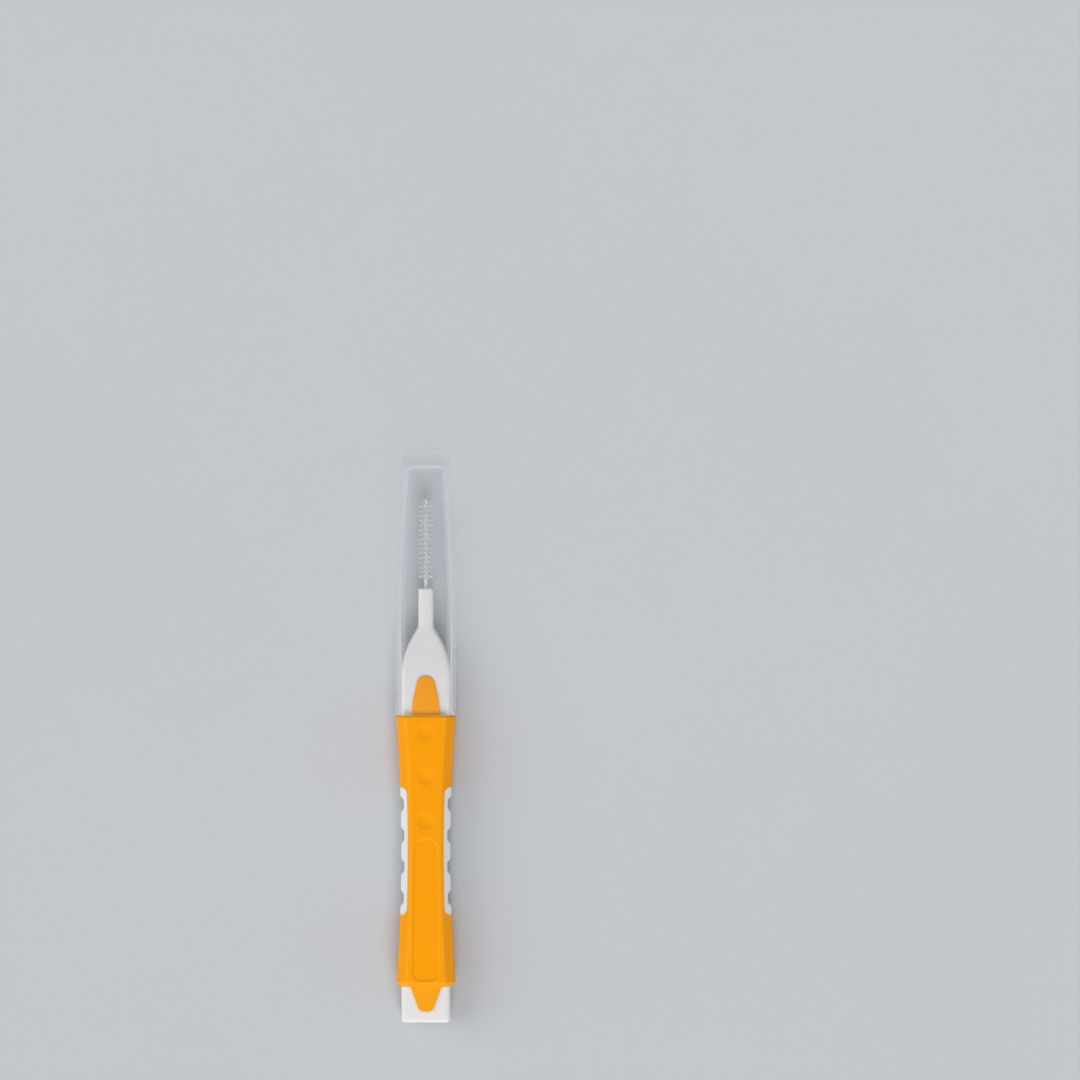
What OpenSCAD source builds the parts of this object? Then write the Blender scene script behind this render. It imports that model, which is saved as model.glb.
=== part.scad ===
// Interdental brush: a white stem in a soft orange grip sleeve, a twisted wire with its
// bristles, and a clear travel cap that pushes over the head.
// It lies on a broad face. X runs across it, Y along it towards the brush tip, Z up through it.
// The origin is under the middle of its length, on the surface that it lies on.

/* [Grip sleeve] */
// Length of the soft sleeve
grip_l = 40.6; // [38:0.1:46]
// Width of the sleeve at its two ends
grip_w = 8.9; // [8.6:0.1:9.6]
// Width of the sleeve at its waist
waist_w = 7.4; // [7:0.1:8]
// Thickness between the broad faces
grip_t = 6; // [5.8:0.1:6.8]
// Slope taken off each long edge, the same on both faces
bevel = 1.4; // [1.1:0.1:1.6]
// Rounding where the slope meets the faces
bevel_r = 0.6; // [0.3:0.1:0.8]
// Slope round the rear end
rear_chamfer = 0.6; // [0.3:0.1:0.8]
// Slope round the front end, under the cap's rim
front_chamfer = 0.25; // [0.1:0.05:0.4]

/* [Thumb dimples] */
// How many dimples lie in a row on each broad face
dimple_count = 3; // [2:1:4]
// Width of a dimple
dimple_d = 2.6; // [2:0.1:3.4]
// Depth of a dimple
dimple_depth = 0.25; // [0.15:0.05:0.45]
// Distance from one dimple to the next
dimple_pitch = 6.65; // [5:0.05:7]
// Distance from the front end of the sleeve to the first dimple
dimple_inset = 2.55; // [2.2:0.05:3]

/* [Finger panel] */
// Length of the shallow panel behind the dimples
panel_l = 21.2; // [16:0.1:22]
// Width of the panel at its front end
panel_front_w = 3.4; // [3:0.1:4]
// Width of the panel at its rear end
panel_rear_w = 4; // [3.4:0.1:4.6]
// Rounding of the panel's rear corners
panel_r = 1.3; // [0.8:0.1:1.4]
// Depth of the panel
panel_depth = 0.15; // [0.1:0.05:0.3]
// Distance from the panel to the rear end of the sleeve
panel_inset = 0.9; // [0.8:0.1:2]

/* [Side grips] */
// Length of the ribbed grip on each narrow side
pad_l = 19.1; // [18.4:0.1:21]
// Height of the ribbed grip, round the side
pad_t = 5.3; // [4.8:0.1:5.4]
// Rounding of the ribbed grip's corners
pad_r = 0.9; // [0.5:0.1:1.2]
// How far the ribbed grip is rooted in the spine
pad_lap = 0.3; // [0.2:0.05:0.6]
// Notches across each ribbed grip
notch_count = 4; // [2:1:4]
// Distance from one notch to the next
notch_pitch = 4.7; // [4.4:0.1:4.8]
// Width of a notch where it opens
notch_w = 2.4; // [2:0.1:3]
// Depth of a notch
notch_depth = 0.5; // [0.25:0.05:0.6]

/* [Stem] */
// Width of the neck
neck_w = 2.3; // [2:0.1:2.8]
// Thickness of the neck
neck_t = 1.95; // [1.75:0.05:2.4]
// Length of the neck
neck_l = 5.8; // [4:0.1:8]
// Rounding of the neck's long edges
neck_r = 0.7; // [0.45:0.05:0.8]
// Length over which the shoulders widen from the neck
taper_l = 7.2; // [5:0.1:9]
// Length of the straight shoulders in front of the sleeve
shoulder_l = 6; // [6:0.1:8]
// Width of the shoulders and of the stub at the rear
shoulder_w = 7.35; // [7:0.05:7.6]
// Thickness of the shoulders and of the stub
shoulder_t = 3.75; // [3.5:0.05:3.9]
// Rounding of the long edges of shoulders and stub
shoulder_r = 0.7; // [0.6:0.05:0.9]
// Length of the stub that stands out at the rear
stub_l = 5.4; // [5:0.1:7]
// Rounding of the stub's end
stub_end_r = 0.55; // [0.3:0.05:0.55]

/* [Spine inside the sleeve] */
// Width of the spine
spine_w = 5; // [4.6:0.1:5.6]
// Thickness of the spine
spine_t = 3.2; // [2.8:0.1:3.4]
// Length that shoulders and stub reach into the sleeve
root_l = 2.5; // [1.5:0.1:3]
// Holes through the spine that lock the sleeve to it
key_count = 3; // [2:1:4]
// Width of a locking hole
key_d = 2; // [1.4:0.1:2.4]
// Distance from one locking hole to the next
key_pitch = 12.4; // [6:0.1:12.6]

/* [Tongues of the sleeve] */
// Height of the tongues above the white faces
tongue_rise = 0.3; // [0.2:0.05:0.35]
// Length of the front tongue
front_tongue_l = 5.9; // [4:0.1:5.9]
// Width of the front tongue where it leaves the sleeve
front_tongue_w = 4.3; // [3.8:0.1:5]
// Length of the rear tongue
rear_tongue_l = 3.75; // [3:0.05:4.2]
// Width of the rear tongue where it leaves the sleeve
rear_tongue_w = 4.65; // [4.2:0.05:5]

/* [Brush] */
// Thickness of the wire
wire_d = 0.23; // [0.18:0.01:0.26]
// Length of the twisted wire in front of the neck
wire_l = 13.45; // [12:0.05:16]
// Length of the twisted wire held inside the neck
wire_hold = 8; // [5:0.5:10]
// Length of one full turn of the twist
twist_pitch = 1.4; // [1.3:0.1:2]
// Width across the bristle tips
bristle_d = 2.2; // [1.8:0.1:2.6]
// Length of the part with bristles
bristle_l = 11.8; // [9:0.1:11.9]
// Rows of bristles, each with two that point opposite ways
bristle_rows = 160; // [150:2:200]
// Thickness of a bristle
bristle_t = 0.05; // [0.04:0.005:0.055]

/* [Cap] */
// Room between the tip of the wire and the inside of the cap's end
tip_room = 5.15; // [1:0.05:8]
// How far the cap stands out beside the sleeve, on each narrow side
cap_proud = 0.05; // [0.05:0.05:0.2]
// Length of the straight part of the cap, from its mouth
cap_straight_l = 18.7; // [14:0.1:22]
// Width of the cap at its closed end
cap_tip_w = 7.1; // [6.4:0.1:8]
// Thickness of the cap at its closed end
cap_tip_t = 4.75; // [4.5:0.05:5.4]
// Rounding of the cap's long edges
cap_r = 1.6; // [1.3:0.1:1.8]
// Rounding of the closed end
cap_end_r = 0.8; // [0.5:0.1:1]
// Thickness of the closed end
cap_end = 1.4; // [1.1:0.1:2]
// Rounding of the inside of the closed end
core_end_r = 1.2; // [0.6:0.1:1.4]
// Room between the cap and what it pushes over, all round
cap_fit = 0.07; // [0.05:0.01:0.1]
// Length of the lead-in just inside the cap's mouth
lead_in_l = 0.75; // [0.4:0.05:1.2]
// How much wider the mouth is there on each side
lead_in = 0.2; // [0.1:0.05:0.3]
// Gap between the cap's mouth and the sleeve
cap_seat = 0.05; // [0.02:0.01:0.1]

/* [Hidden] */

// How far a cutter runs past what it cuts
over = 0.5;
// Flat steps in one quarter turn of a moulded edge, and in one rounded corner of an outline
edge_steps = 6;
corner_steps = 4;
// Flat steps in the rounding of an end
end_steps = 4;
// The least edge rounding at the very end of a rounded end, as a share of the bar's own
end_edge_share = 0.5;
// Rings along the taper of the shoulders
taper_rings = 10;

// Places along the handle
head_l = shoulder_l + taper_l + neck_l + wire_l;
cap_l = head_l - cap_seat + tip_room + cap_end;
whole_l = stub_l + grip_l + cap_seat + cap_l;
foot_y = -whole_l / 2;
rear_y = foot_y + stub_l;
front_y = rear_y + grip_l;
waist_y = (rear_y + front_y) / 2;
mouth_y = front_y + cap_seat;
taper_y = front_y + shoulder_l;
neck_y = taper_y + taper_l;
neck_tip_y = neck_y + neck_l;
wire_tip_y = neck_tip_y + wire_l;

// The sides of the sleeve are arcs that draw in from both ends to the waist
waist_sag = (grip_w - waist_w) / 2;
waist_r = (pow(grip_l / 2, 2) + pow(waist_sag, 2)) / (2 * waist_sag);
waist_fn = 1440;

// How full the shoulders are across their width and through their thickness, as powers
width_fullness = 2;
thickness_fullness = 1.3;
spine_r = 0.5;
neck_tip_r = 0.2;

// The front tongue narrows at this share of its length, to these shares of its root width
tongue_bend_share = 0.38;
tongue_bend_w_share = 0.9;
tongue_tip_w_share = 0.5;
tongue_tip_r_share = 0.29;
tongue_bend_r_share = 1;
rear_tip_w_share = 0.42;
rear_tip_r_share = 0.21;

// The panel ends in an arch at the front, whose corners are rounded by this share of its width there
panel_arch_share = 0.44;

// The mouth of a notch is eased by this share of its depth
notch_ease_share = 0.25;
notch_floor_r_share = 0.5;

// The two legs of the wire lie either side of the bristles
bristle_room = 0.01;
leg_r = wire_d / 2;
twist_r = leg_r + bristle_t / 2 + bristle_room;
twist_ease = twist_pitch / 4;
wire_sides = 6;
wire_rings_per_turn = 10;
bend_rings = 6;
bore_room = 0.01;
bristle_end_gap = 0.4;
bristle_core_w = 0.3;
bristle_gap_share = 0.35;
bristle_tip_share = 0.85;
tip_rows_share = 0.08;
tip_rows_reach_share = 0.7;

cavity_w = shoulder_w + 2 * cap_fit;
cavity_t = shoulder_t + 2 * tongue_rise + 2 * cap_fit;
cap_w = grip_w + 2 * cap_proud;
cap_t = grip_t;
side_wall = (cap_w - cavity_w) / 2;
face_wall = (cap_t - cavity_t) / 2;
cavity_r = cap_r - side_wall;
rim_ease = 0.15;

// Half the width of the sleeve at a place along it
function side_x(y) = waist_w / 2 + waist_r - sqrt(pow(waist_r, 2) - pow(y - waist_y, 2));

function between(a, b, t) = a + (b - a) * t;
function unit(v) = v / norm(v);

// The rounded corner at p on the way from a to b, or p itself when r is zero
function corner(a, p, b, r) =
    r == 0 ? [p] :
    let (u = unit(a - p), v = unit(b - p), half = acos(u * v) / 2,
         c = p + unit(u + v) * r / sin(half), d = r / tan(half),
         from = p + u * d - c, to = p + v * d - c, turn = 180 - 2 * half)
    [for (k = [0:corner_steps])
        let (t = k / corner_steps)
        c + (from * sin((1 - t) * turn) + to * sin(t * turn)) / sin(turn)];

// An outline from corners that are each [x, y, rounding]
function outline(corners) =
    let (n = len(corners))
    [for (i = [0:n - 1])
        let (a = corners[(i + n - 1) % n], p = corners[i], b = corners[(i + 1) % n])
        each corner([a[0], a[1]], [p[0], p[1]], [b[0], b[1]], p[2])];

// One ring of a moulded bar, from [place along Y, half width, half thickness, edge rounding]
function ring(s) =
    [for (q = [0:3])
        let (sx = q == 0 || q == 3 ? 1 : -1, sz = q < 2 ? 1 : -1)
        for (k = [0:edge_steps])
            let (a = 90 * (q + k / edge_steps))
            [sx * (s[1] - s[3]) + s[3] * cos(a), s[0], sz * (s[2] - s[3]) + s[3] * sin(a)]];

// Triangles that join the rings of a closed tube, each with n points
function tube_faces(rings, n) = concat(
    [for (i = [0:rings - 2]) for (j = [0:n - 1])
        let (k = (j + 1) % n)
        each [[i * n + j, i * n + k, (i + 1) * n + k], [i * n + j, (i + 1) * n + k, (i + 1) * n + j]]],
    [for (j = [1:n - 2]) [0, j + 1, j]],
    [for (j = [1:n - 2]) [(rings - 1) * n, (rings - 1) * n + j, (rings - 1) * n + j + 1]]);

// A solid through a list of ring sections
module bar(sections) {
    points = [for (s = sections) each ring(s)];
    polyhedron(points, tube_faces(len(sections), 4 * (edge_steps + 1)));
}

// Sections that round the end of a bar off by r, from its flat face at y towards dir
function rounded_end(y, dir, half_w, half_t, edge_r, r) =
    [for (k = [0:end_steps])
        let (a = 90 * k / end_steps, in = r * (1 - sin(a)))
        [y + dir * r * (1 - cos(a)), half_w - in, half_t - in, max(edge_r - in, edge_r * end_edge_share)]];

function reversed(list) = [for (i = [len(list) - 1:-1:0]) list[i]];

// A flat shape in X and Y, drawn out through Z between two heights
module plate(points, z0, z1) {
    translate([0, 0, z0])
        linear_extrude(height = z1 - z0)
            polygon(points);
}

// A flat shape in Y and Z, drawn out through X between two places
module slab(points, x0, x1) {
    translate([x0, 0, 0])
        rotate([90, 0, 90])
            linear_extrude(height = x1 - x0)
                polygon(points);
}

// The outline of the sleeve from above or from the side, as [across, along], with sloped ends
function sleeve_outline(half) =
    [[half, rear_y + rear_chamfer], [half, front_y - front_chamfer],
     [half - front_chamfer, front_y], [front_chamfer - half, front_y],
     [-half, front_y - front_chamfer], [-half, rear_y + rear_chamfer],
     [rear_chamfer - half, rear_y], [half - rear_chamfer, rear_y]];

// What the mould takes off one narrow side: the long arc with its two slopes
module waist_cutter() {
    half = grip_t / 2;
    flat = half - bevel;
    reach = asin((grip_l / 2 + over) / waist_r);
    upper = concat(
        corner([waist_r, -flat], [waist_r, flat], [waist_r + bevel, half], bevel_r),
        corner([waist_r, flat], [waist_r + bevel, half], [waist_r + 2 * bevel, half], bevel_r));
    last = upper[len(upper) - 1];
    profile = concat(
        [[waist_r - 2 * waist_sag - over, half + over], [waist_r - 2 * waist_sag - over, -half - over],
         [last[0], -half - over]],
        [for (p = reversed(upper)) [p[0], -p[1]]],
        upper,
        [[last[0], half + over]]);
    translate([waist_w / 2 + waist_r, waist_y, 0])
        rotate([0, 0, 180 - reach])
            rotate_extrude(angle = 2 * reach, $fn = waist_fn)
                polygon(profile);
}

// The outer form of the handle's grip, sleeve and ribbed sides together
module grip_form() {
    difference() {
        intersection() {
            plate(sleeve_outline(grip_w / 2), -grip_t / 2, grip_t / 2);
            slab([for (p = sleeve_outline(grip_t / 2)) [p[1], p[0]]], -grip_w / 2 - over, grip_w / 2 + over);
        }
        waist_cutter();
        mirror([1, 0, 0]) waist_cutter();
    }
}

// The block that a ribbed side grip fills, from its root outwards
module pad_block() {
    slab(outline([[waist_y - pad_l / 2, -pad_t / 2, pad_r], [waist_y + pad_l / 2, -pad_t / 2, pad_r],
                  [waist_y + pad_l / 2, pad_t / 2, pad_r], [waist_y - pad_l / 2, pad_t / 2, pad_r]]),
         spine_w / 2 - pad_lap, grip_w / 2 + over);
}

// One notch across a ribbed side grip, with its mouth eased
module notch(y) {
    x = side_x(y);
    floor_half = notch_w / 2 - notch_depth;
    ease = notch_depth * notch_ease_share;
    plate(outline([[x - notch_depth, y - floor_half, notch_depth * notch_floor_r_share],
                   [x - ease, y - notch_w / 2 + ease, 0],
                   [x + over, y - notch_w / 2 - ease - 2 * over, 0],
                   [x + over, y + notch_w / 2 + ease + 2 * over, 0],
                   [x - ease, y + notch_w / 2 - ease, 0],
                   [x - notch_depth, y + floor_half, notch_depth * notch_floor_r_share]]),
          -grip_t, grip_t);
}

// One ribbed side grip
module ribbed_pad() {
    difference() {
        intersection() {
            grip_form();
            pad_block();
        }
        for (i = [0:notch_count - 1])
            notch(waist_y + (i - (notch_count - 1) / 2) * notch_pitch);
    }
}

// The moulded bar of the stem, from the foot of the stub to the end of the neck
function stem_sections() =
    let (w = shoulder_w / 2, t = shoulder_t / 2)
    concat(
        rounded_end(foot_y, 1, w, t, shoulder_r, stub_end_r),
        [[rear_y + root_l, w, t, shoulder_r],
         [rear_y + root_l, spine_w / 2, spine_t / 2, spine_r],
         [front_y - root_l, spine_w / 2, spine_t / 2, spine_r],
         [front_y - root_l, w, t, shoulder_r]],
        [for (k = [0:taper_rings])
            let (u = k / taper_rings)
            [between(taper_y, neck_y, u),
             between(neck_w / 2, w, 1 - pow(u, width_fullness)),
             between(neck_t / 2, t, 1 - pow(u, thickness_fullness)),
             between(shoulder_r, neck_r, u)]],
        reversed(rounded_end(neck_tip_y, -1, neck_w / 2, neck_t / 2, neck_r, neck_tip_r)));

// The holes where sleeve material runs through the spine from face to face
module key_holes() {
    for (i = [0:key_count - 1])
        translate([0, waist_y + (i - (key_count - 1) / 2) * key_pitch, -spine_t])
            cylinder(h = 2 * spine_t, d = key_d, $fn = 48);
}

module stem_bar() {
    difference() {
        bar(stem_sections());
        key_holes();
    }
}

module stem() {
    color("white")
        translate([0, 0, grip_t / 2])
            difference() {
                union() {
                    stem_bar();
                    ribbed_pad();
                    mirror([1, 0, 0]) ribbed_pad();
                }
                translate([0, neck_tip_y - wire_hold, 0])
                    rotate([-90, 0, 0])
                        cylinder(h = wire_hold + over, r = twist_r + leg_r + bore_room, $fn = 48);
            }
}

// The outline of the tongue that lies on the shoulders
function front_tongue() =
    let (root = front_tongue_w / 2, bend = root * tongue_bend_w_share, tip = root * tongue_tip_w_share,
         bend_y = front_y + front_tongue_l * tongue_bend_share, tip_y = front_y + front_tongue_l,
         bend_r = front_tongue_w * tongue_bend_r_share, tip_r = front_tongue_w * tongue_tip_r_share,
         start_y = front_y - root_l / 2)
    outline([[root, start_y, 0], [bend, bend_y, bend_r], [tip, tip_y, tip_r],
             [-tip, tip_y, tip_r], [-bend, bend_y, bend_r], [-root, start_y, 0]]);

// The outline of the tongue that lies on the stub
function rear_tongue() =
    let (root = rear_tongue_w / 2, tip = root * rear_tip_w_share, tip_y = rear_y - rear_tongue_l,
         tip_r = rear_tongue_w * rear_tip_r_share, start_y = rear_y + root_l / 2)
    outline([[root, start_y, 0], [root, rear_y, 0], [tip, tip_y, tip_r],
             [-tip, tip_y, tip_r], [-root, rear_y, 0], [-root, start_y, 0]]);

// The row of round dimples on the upper face
module dimples() {
    ball_r = (pow(dimple_d / 2, 2) + pow(dimple_depth, 2)) / (2 * dimple_depth);
    for (i = [0:dimple_count - 1])
        translate([0, front_y - dimple_inset - i * dimple_pitch, grip_t / 2 - dimple_depth + ball_r])
            sphere(r = ball_r, $fn = 96);
}

// The shallow panel on the upper face
module finger_panel() {
    y0 = rear_y + panel_inset;
    y1 = y0 + panel_l;
    arch_r = panel_front_w * panel_arch_share;
    plate(outline([[panel_rear_w / 2, y0, panel_r], [panel_front_w / 2, y1, arch_r],
                   [-panel_front_w / 2, y1, arch_r], [-panel_rear_w / 2, y0, panel_r]]),
          grip_t / 2 - panel_depth, grip_t / 2 + over);
}

module grip_sleeve() {
    tongue_z = shoulder_t / 2 + tongue_rise;
    color("orange")
        translate([0, 0, grip_t / 2])
            difference() {
                union() {
                    grip_form();
                    plate(front_tongue(), -tongue_z, tongue_z);
                    plate(rear_tongue(), -tongue_z, tongue_z);
                }
                stem_bar();
                pad_block();
                mirror([1, 0, 0]) pad_block();
                dimples();
                mirror([0, 0, 1]) dimples();
                finger_panel();
                mirror([0, 0, 1]) finger_panel();
            }
}

// The turn of the twist at a place y, which eases to a stop at the folded tip
twist_top_y = wire_tip_y - leg_r - twist_r;
function twist(y) =
    let (ease_y = twist_top_y - twist_ease, u = max(0, y - ease_y) / twist_ease)
    360 / twist_pitch * (min(y, ease_y) - neck_tip_y + twist_ease * (u - u * u / 2));
// How fast it turns there, in degrees for each unit of length
function twist_rate(y) =
    360 / twist_pitch * (1 - max(0, y - twist_top_y + twist_ease) / twist_ease);

// A ring round a point of the wire, from its outward and along directions
function wire_ring(p, outward, along) =
    let (side = cross(along, outward))
    [for (k = [0:wire_sides - 1])
        let (a = 360 * k / wire_sides)
        p + leg_r * (cos(a) * outward + sin(a) * side)];

// A ring on one leg of the wire at a place y, with the leg going up or down
function leg_ring(y, phase, up) =
    let (a = twist(y) + phase, out = [cos(a), 0, sin(a)], round = [-sin(a), 0, cos(a)],
         slope = twist_r * twist_rate(y) * PI / 180)
    wire_ring(out * twist_r + [0, y, 0], out, up * unit([0, 1, 0] + slope * round));

// One wire, folded at the tip, with its two legs twisted round each other
module twisted_wire() {
    bottom_y = neck_tip_y - wire_hold;
    rings = ceil((twist_top_y - bottom_y) / twist_pitch * wire_rings_per_turn);
    ys = [for (k = [0:rings]) between(bottom_y, twist_top_y, k / rings)];
    top = twist(twist_top_y);
    out = [cos(top), 0, sin(top)];
    up_leg = [for (y = ys) each leg_ring(y, 0, 1)];
    bend = [for (k = [1:bend_rings - 1])
        let (a = 180 * k / bend_rings)
        each wire_ring([0, twist_top_y, 0] + twist_r * (out * cos(a) + [0, sin(a), 0]),
                       out * cos(a) + [0, sin(a), 0], [0, cos(a), 0] - out * sin(a))];
    down_leg = [for (y = reversed(ys)) each leg_ring(y, 180, -1)];
    points = concat(up_leg, bend, down_leg);
    color("silver")
        translate([0, 0, grip_t / 2])
            polyhedron(points, tube_faces(len(points) / wire_sides, wire_sides));
}

// Where the bristles start and how far apart their rows are
bristle_y = wire_tip_y - bristle_end_gap - bristle_l;
row_pitch = bristle_l / bristle_rows;
bristle_h = row_pitch * (1 - bristle_gap_share);

// Half the width across the tips of row i, which draws in over the last rows
function row_reach(i) =
    let (u = max(0, (i + 1) / bristle_rows - 1 + tip_rows_share) / tip_rows_share)
    bristle_d / 2 * between(1, tip_rows_reach_share, u * u);

// The four corners of the bristles' own core at a place y
function core_ring(y) =
    let (a = twist(y) + 90, out = [cos(a), 0, sin(a)], side = [-sin(a), 0, cos(a)])
    [for (c = [[1, -1], [1, 1], [-1, 1], [-1, -1]])
        [0, y, 0] + out * (c[0] * bristle_core_w / 2) + side * (c[1] * bristle_t / 2)];

// The four tip corners of a bristle in row i, on the side s of the core
function bristle_tip(i, s) =
    let (y = bristle_y + i * row_pitch + bristle_h / 2, a = twist(y) + 90,
         out = s * [cos(a), 0, sin(a)], side = s * [-sin(a), 0, cos(a)])
    [for (c = [[-1, -1], [1, -1], [1, 1], [-1, 1]])
        [0, y, 0] + out * row_reach(i)
            + bristle_tip_share * (side * (c[0] * bristle_t / 2) + [0, c[1] * bristle_h / 2, 0])];

function quad(a, b, c, d) = [[a, b, c], [a, c, d]];

// The bristles stand out of a thin twisted core that the two legs of the wire pinch between them
module bristles() {
    per_row = 16;
    points = [for (i = [0:bristle_rows - 1])
        let (y = bristle_y + i * row_pitch)
        each concat(core_ring(y), core_ring(y + bristle_h), bristle_tip(i, 1), bristle_tip(i, -1))];
    rows = [for (i = [0:bristle_rows - 1])
        let (p = i * per_row, q = p + 4)
        each concat(
            quad(p + 1, p + 2, q + 2, q + 1),
            quad(p + 3, p, q, q + 3),
            bristle_faces([p, p + 1, q + 1, q], p + 8),
            bristle_faces([p + 2, p + 3, q + 3, q + 2], p + 12))];
    links = [for (i = [0:bristle_rows - 2])
        let (p = i * per_row + 4, q = p + per_row - 4)
        each [for (k = [0:3]) each quad(p + k, p + (k + 1) % 4, q + (k + 1) % 4, q + k)]];
    last = (bristle_rows - 1) * per_row + 4;
    color("white")
        translate([0, 0, grip_t / 2])
            polyhedron(points, concat(rows, links, quad(3, 2, 1, 0),
                                      quad(last, last + 1, last + 2, last + 3)));
}

// The sides and end of one bristle, from its root corners to the four from tip on
function bristle_faces(root, tip) = concat(
    [for (k = [0:3])
        each quad(root[k], root[(k + 1) % 4], tip + (k + 1) % 4, tip + k)],
    quad(tip, tip + 1, tip + 2, tip + 3));

// The outside of the cap, from its mouth to its closed end
function cap_sections() =
    let (w = cap_w / 2, t = cap_t / 2, tip_r = cap_r * cap_tip_t / cap_t)
    concat(
        [[mouth_y, w - rim_ease, t - rim_ease, cap_r - rim_ease],
         [mouth_y + rim_ease, w, t, cap_r],
         [mouth_y + cap_straight_l, w, t, cap_r]],
        reversed(rounded_end(mouth_y + cap_l, -1, cap_tip_w / 2, cap_tip_t / 2, tip_r, cap_end_r)));

// The room inside it
function cavity_sections() =
    let (w = cavity_w / 2, t = cavity_t / 2, tip_r = cavity_r * cap_tip_t / cap_t,
         tip_w = cap_tip_w / 2 - side_wall, tip_t = cap_tip_t / 2 - face_wall)
    concat(
        [[mouth_y - over, w + lead_in, t + lead_in, cavity_r + lead_in],
         [mouth_y, w + lead_in, t + lead_in, cavity_r + lead_in],
         [mouth_y + lead_in_l, w, t, cavity_r],
         [mouth_y + cap_straight_l, w, t, cavity_r]],
        reversed(rounded_end(mouth_y + cap_l - cap_end, -1, tip_w, tip_t, tip_r, core_end_r)));

module cap() {
    color("lightcyan", 0.4)
        translate([0, 0, grip_t / 2])
            difference() {
                bar(cap_sections());
                bar(cavity_sections());
            }
}

cap();
stem();
grip_sleeve();
twisted_wire();
bristles();
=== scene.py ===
"""Looks of an interdental brush with its travel cap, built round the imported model.

The brush lies on a broad face. X runs across it, Y along it towards the tip of the wire
and Z up through it. Sizes here are in millimetres about the brush's mid-plane, and
Skin.piece lifts each mesh on to the floor and turns it into metres.
"""

import logging
import math
from collections.abc import Callable
from dataclasses import dataclass
from enum import Enum
from typing import ClassVar

import bmesh
import bpy
import numpy as np
from mathutils import Matrix, Vector


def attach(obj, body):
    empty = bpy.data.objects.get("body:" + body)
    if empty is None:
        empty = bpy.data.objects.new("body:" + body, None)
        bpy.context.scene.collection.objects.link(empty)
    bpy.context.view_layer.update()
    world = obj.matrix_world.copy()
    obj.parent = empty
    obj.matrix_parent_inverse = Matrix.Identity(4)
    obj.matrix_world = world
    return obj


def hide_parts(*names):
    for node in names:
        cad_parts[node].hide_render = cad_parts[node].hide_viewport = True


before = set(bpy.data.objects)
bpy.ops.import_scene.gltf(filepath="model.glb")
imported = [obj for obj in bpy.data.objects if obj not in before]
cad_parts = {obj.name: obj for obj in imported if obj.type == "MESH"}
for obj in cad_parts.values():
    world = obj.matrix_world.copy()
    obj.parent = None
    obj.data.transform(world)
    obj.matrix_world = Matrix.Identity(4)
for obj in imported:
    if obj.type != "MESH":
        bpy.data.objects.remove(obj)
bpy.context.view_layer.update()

log = logging.getLogger("brush")

MM = 0.001
MID_HEIGHT = 3.0
EDGE_MARK = "edge_rise"
# Most of a noise texture's values lie between these two
NOISE_SPAN = (0.3, 0.7)
# A count of turns that lies between none and one
UNDER_ONE = 0.5
# Keeps a division from meeting zero
TINY = 1e-12

Ring = np.ndarray
Colour = tuple[float, float, float]
Span = tuple[float, float]
# Place across, place along and rounding
Corner = tuple[float, float, float]
# Half the width, half the thickness and the rounding of the long edges
Section = tuple[float, float, float]
# Plain values or sockets to join, by an input's name or place
Inputs = dict[str | int, object]


class Body(Enum):
    """The two things that move against each other."""

    BRUSH = "brush"
    CAP = "cap"


class Slot(Enum):
    """The record's material slots."""

    SLEEVE = "sleeve_orange"
    STEM = "stem_white"
    WIRE = "wire_steel"
    BRISTLES = "bristle_nylon"
    CAP = "cap_clear"


class Kind(Enum):
    """The kinds of value that a shader node group takes in and puts out."""

    NUMBER = "NodeSocketFloat"
    COLOUR = "NodeSocketColor"


# Mesh helpers


def soft_rise(value: np.ndarray, softness: float) -> np.ndarray:
    """Follows value above zero and fades to zero below it, with a bend as wide as softness."""
    return 0.5 * (value + np.sqrt(value * value + softness * softness))


def smooth_step(value: np.ndarray) -> np.ndarray:
    """Eases from 0 to 1 while value goes from 0 to 1."""
    share = np.clip(value, 0.0, 1.0)
    return share * share * (3.0 - 2.0 * share)


def rounded_box_distance(
    across: np.ndarray,
    along: np.ndarray,
    half_across: np.ndarray,
    half_along: float,
    corner: float | np.ndarray,
) -> np.ndarray:
    """Measures how far points lie outside a rectangle with rounded corners.

    Args:
        across: Places across the rectangle, from its middle.
        along: Places along it, from its middle.
        half_across: Half its width.
        half_along: Half its length.
        corner: Rounding of its corners, one for all or the nearest corner's at each point.

    Returns:
        The distances, which are below zero inside.
    """
    out_across = np.abs(across) - (half_across - corner)
    out_along = np.abs(along) - (half_along - corner)
    outside = np.hypot(np.maximum(out_across, 0.0), np.maximum(out_along, 0.0))
    inside = np.minimum(np.maximum(out_across, out_along), 0.0)
    return outside + inside - corner


def moulded_ring(y: float, section: Section, edge_steps: int = 10, flat_steps: int = 8) -> Ring:
    """Makes one ring of a moulded bar, a rectangle with rounded long edges.

    Args:
        y: Place along the brush.
        section: The bar's section there.
        edge_steps: Flat steps in each rounded edge.
        flat_steps: Steps along each flat side, for even shading.

    Returns:
        The ring's points, in order round the bar.
    """
    half_w, half_t, edge = section
    arcs: list[np.ndarray] = []
    for quarter, (sign_x, sign_z) in enumerate(((1, 1), (-1, 1), (-1, -1), (1, -1))):
        angles = np.radians(90.0 * (quarter + np.arange(edge_steps + 1) / edge_steps))
        x = sign_x * (half_w - edge) + edge * np.cos(angles)
        z = sign_z * (half_t - edge) + edge * np.sin(angles)
        arcs.append(np.column_stack((x, np.full(len(angles), y), z)))
    shares = np.arange(1, flat_steps)[:, None] / flat_steps
    parts: list[np.ndarray] = []
    for arc, after in zip(arcs, arcs[1:] + arcs[:1]):
        parts += [arc, arc[-1] + shares * (after[0] - arc[-1])]
    return np.concatenate(parts)


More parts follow.
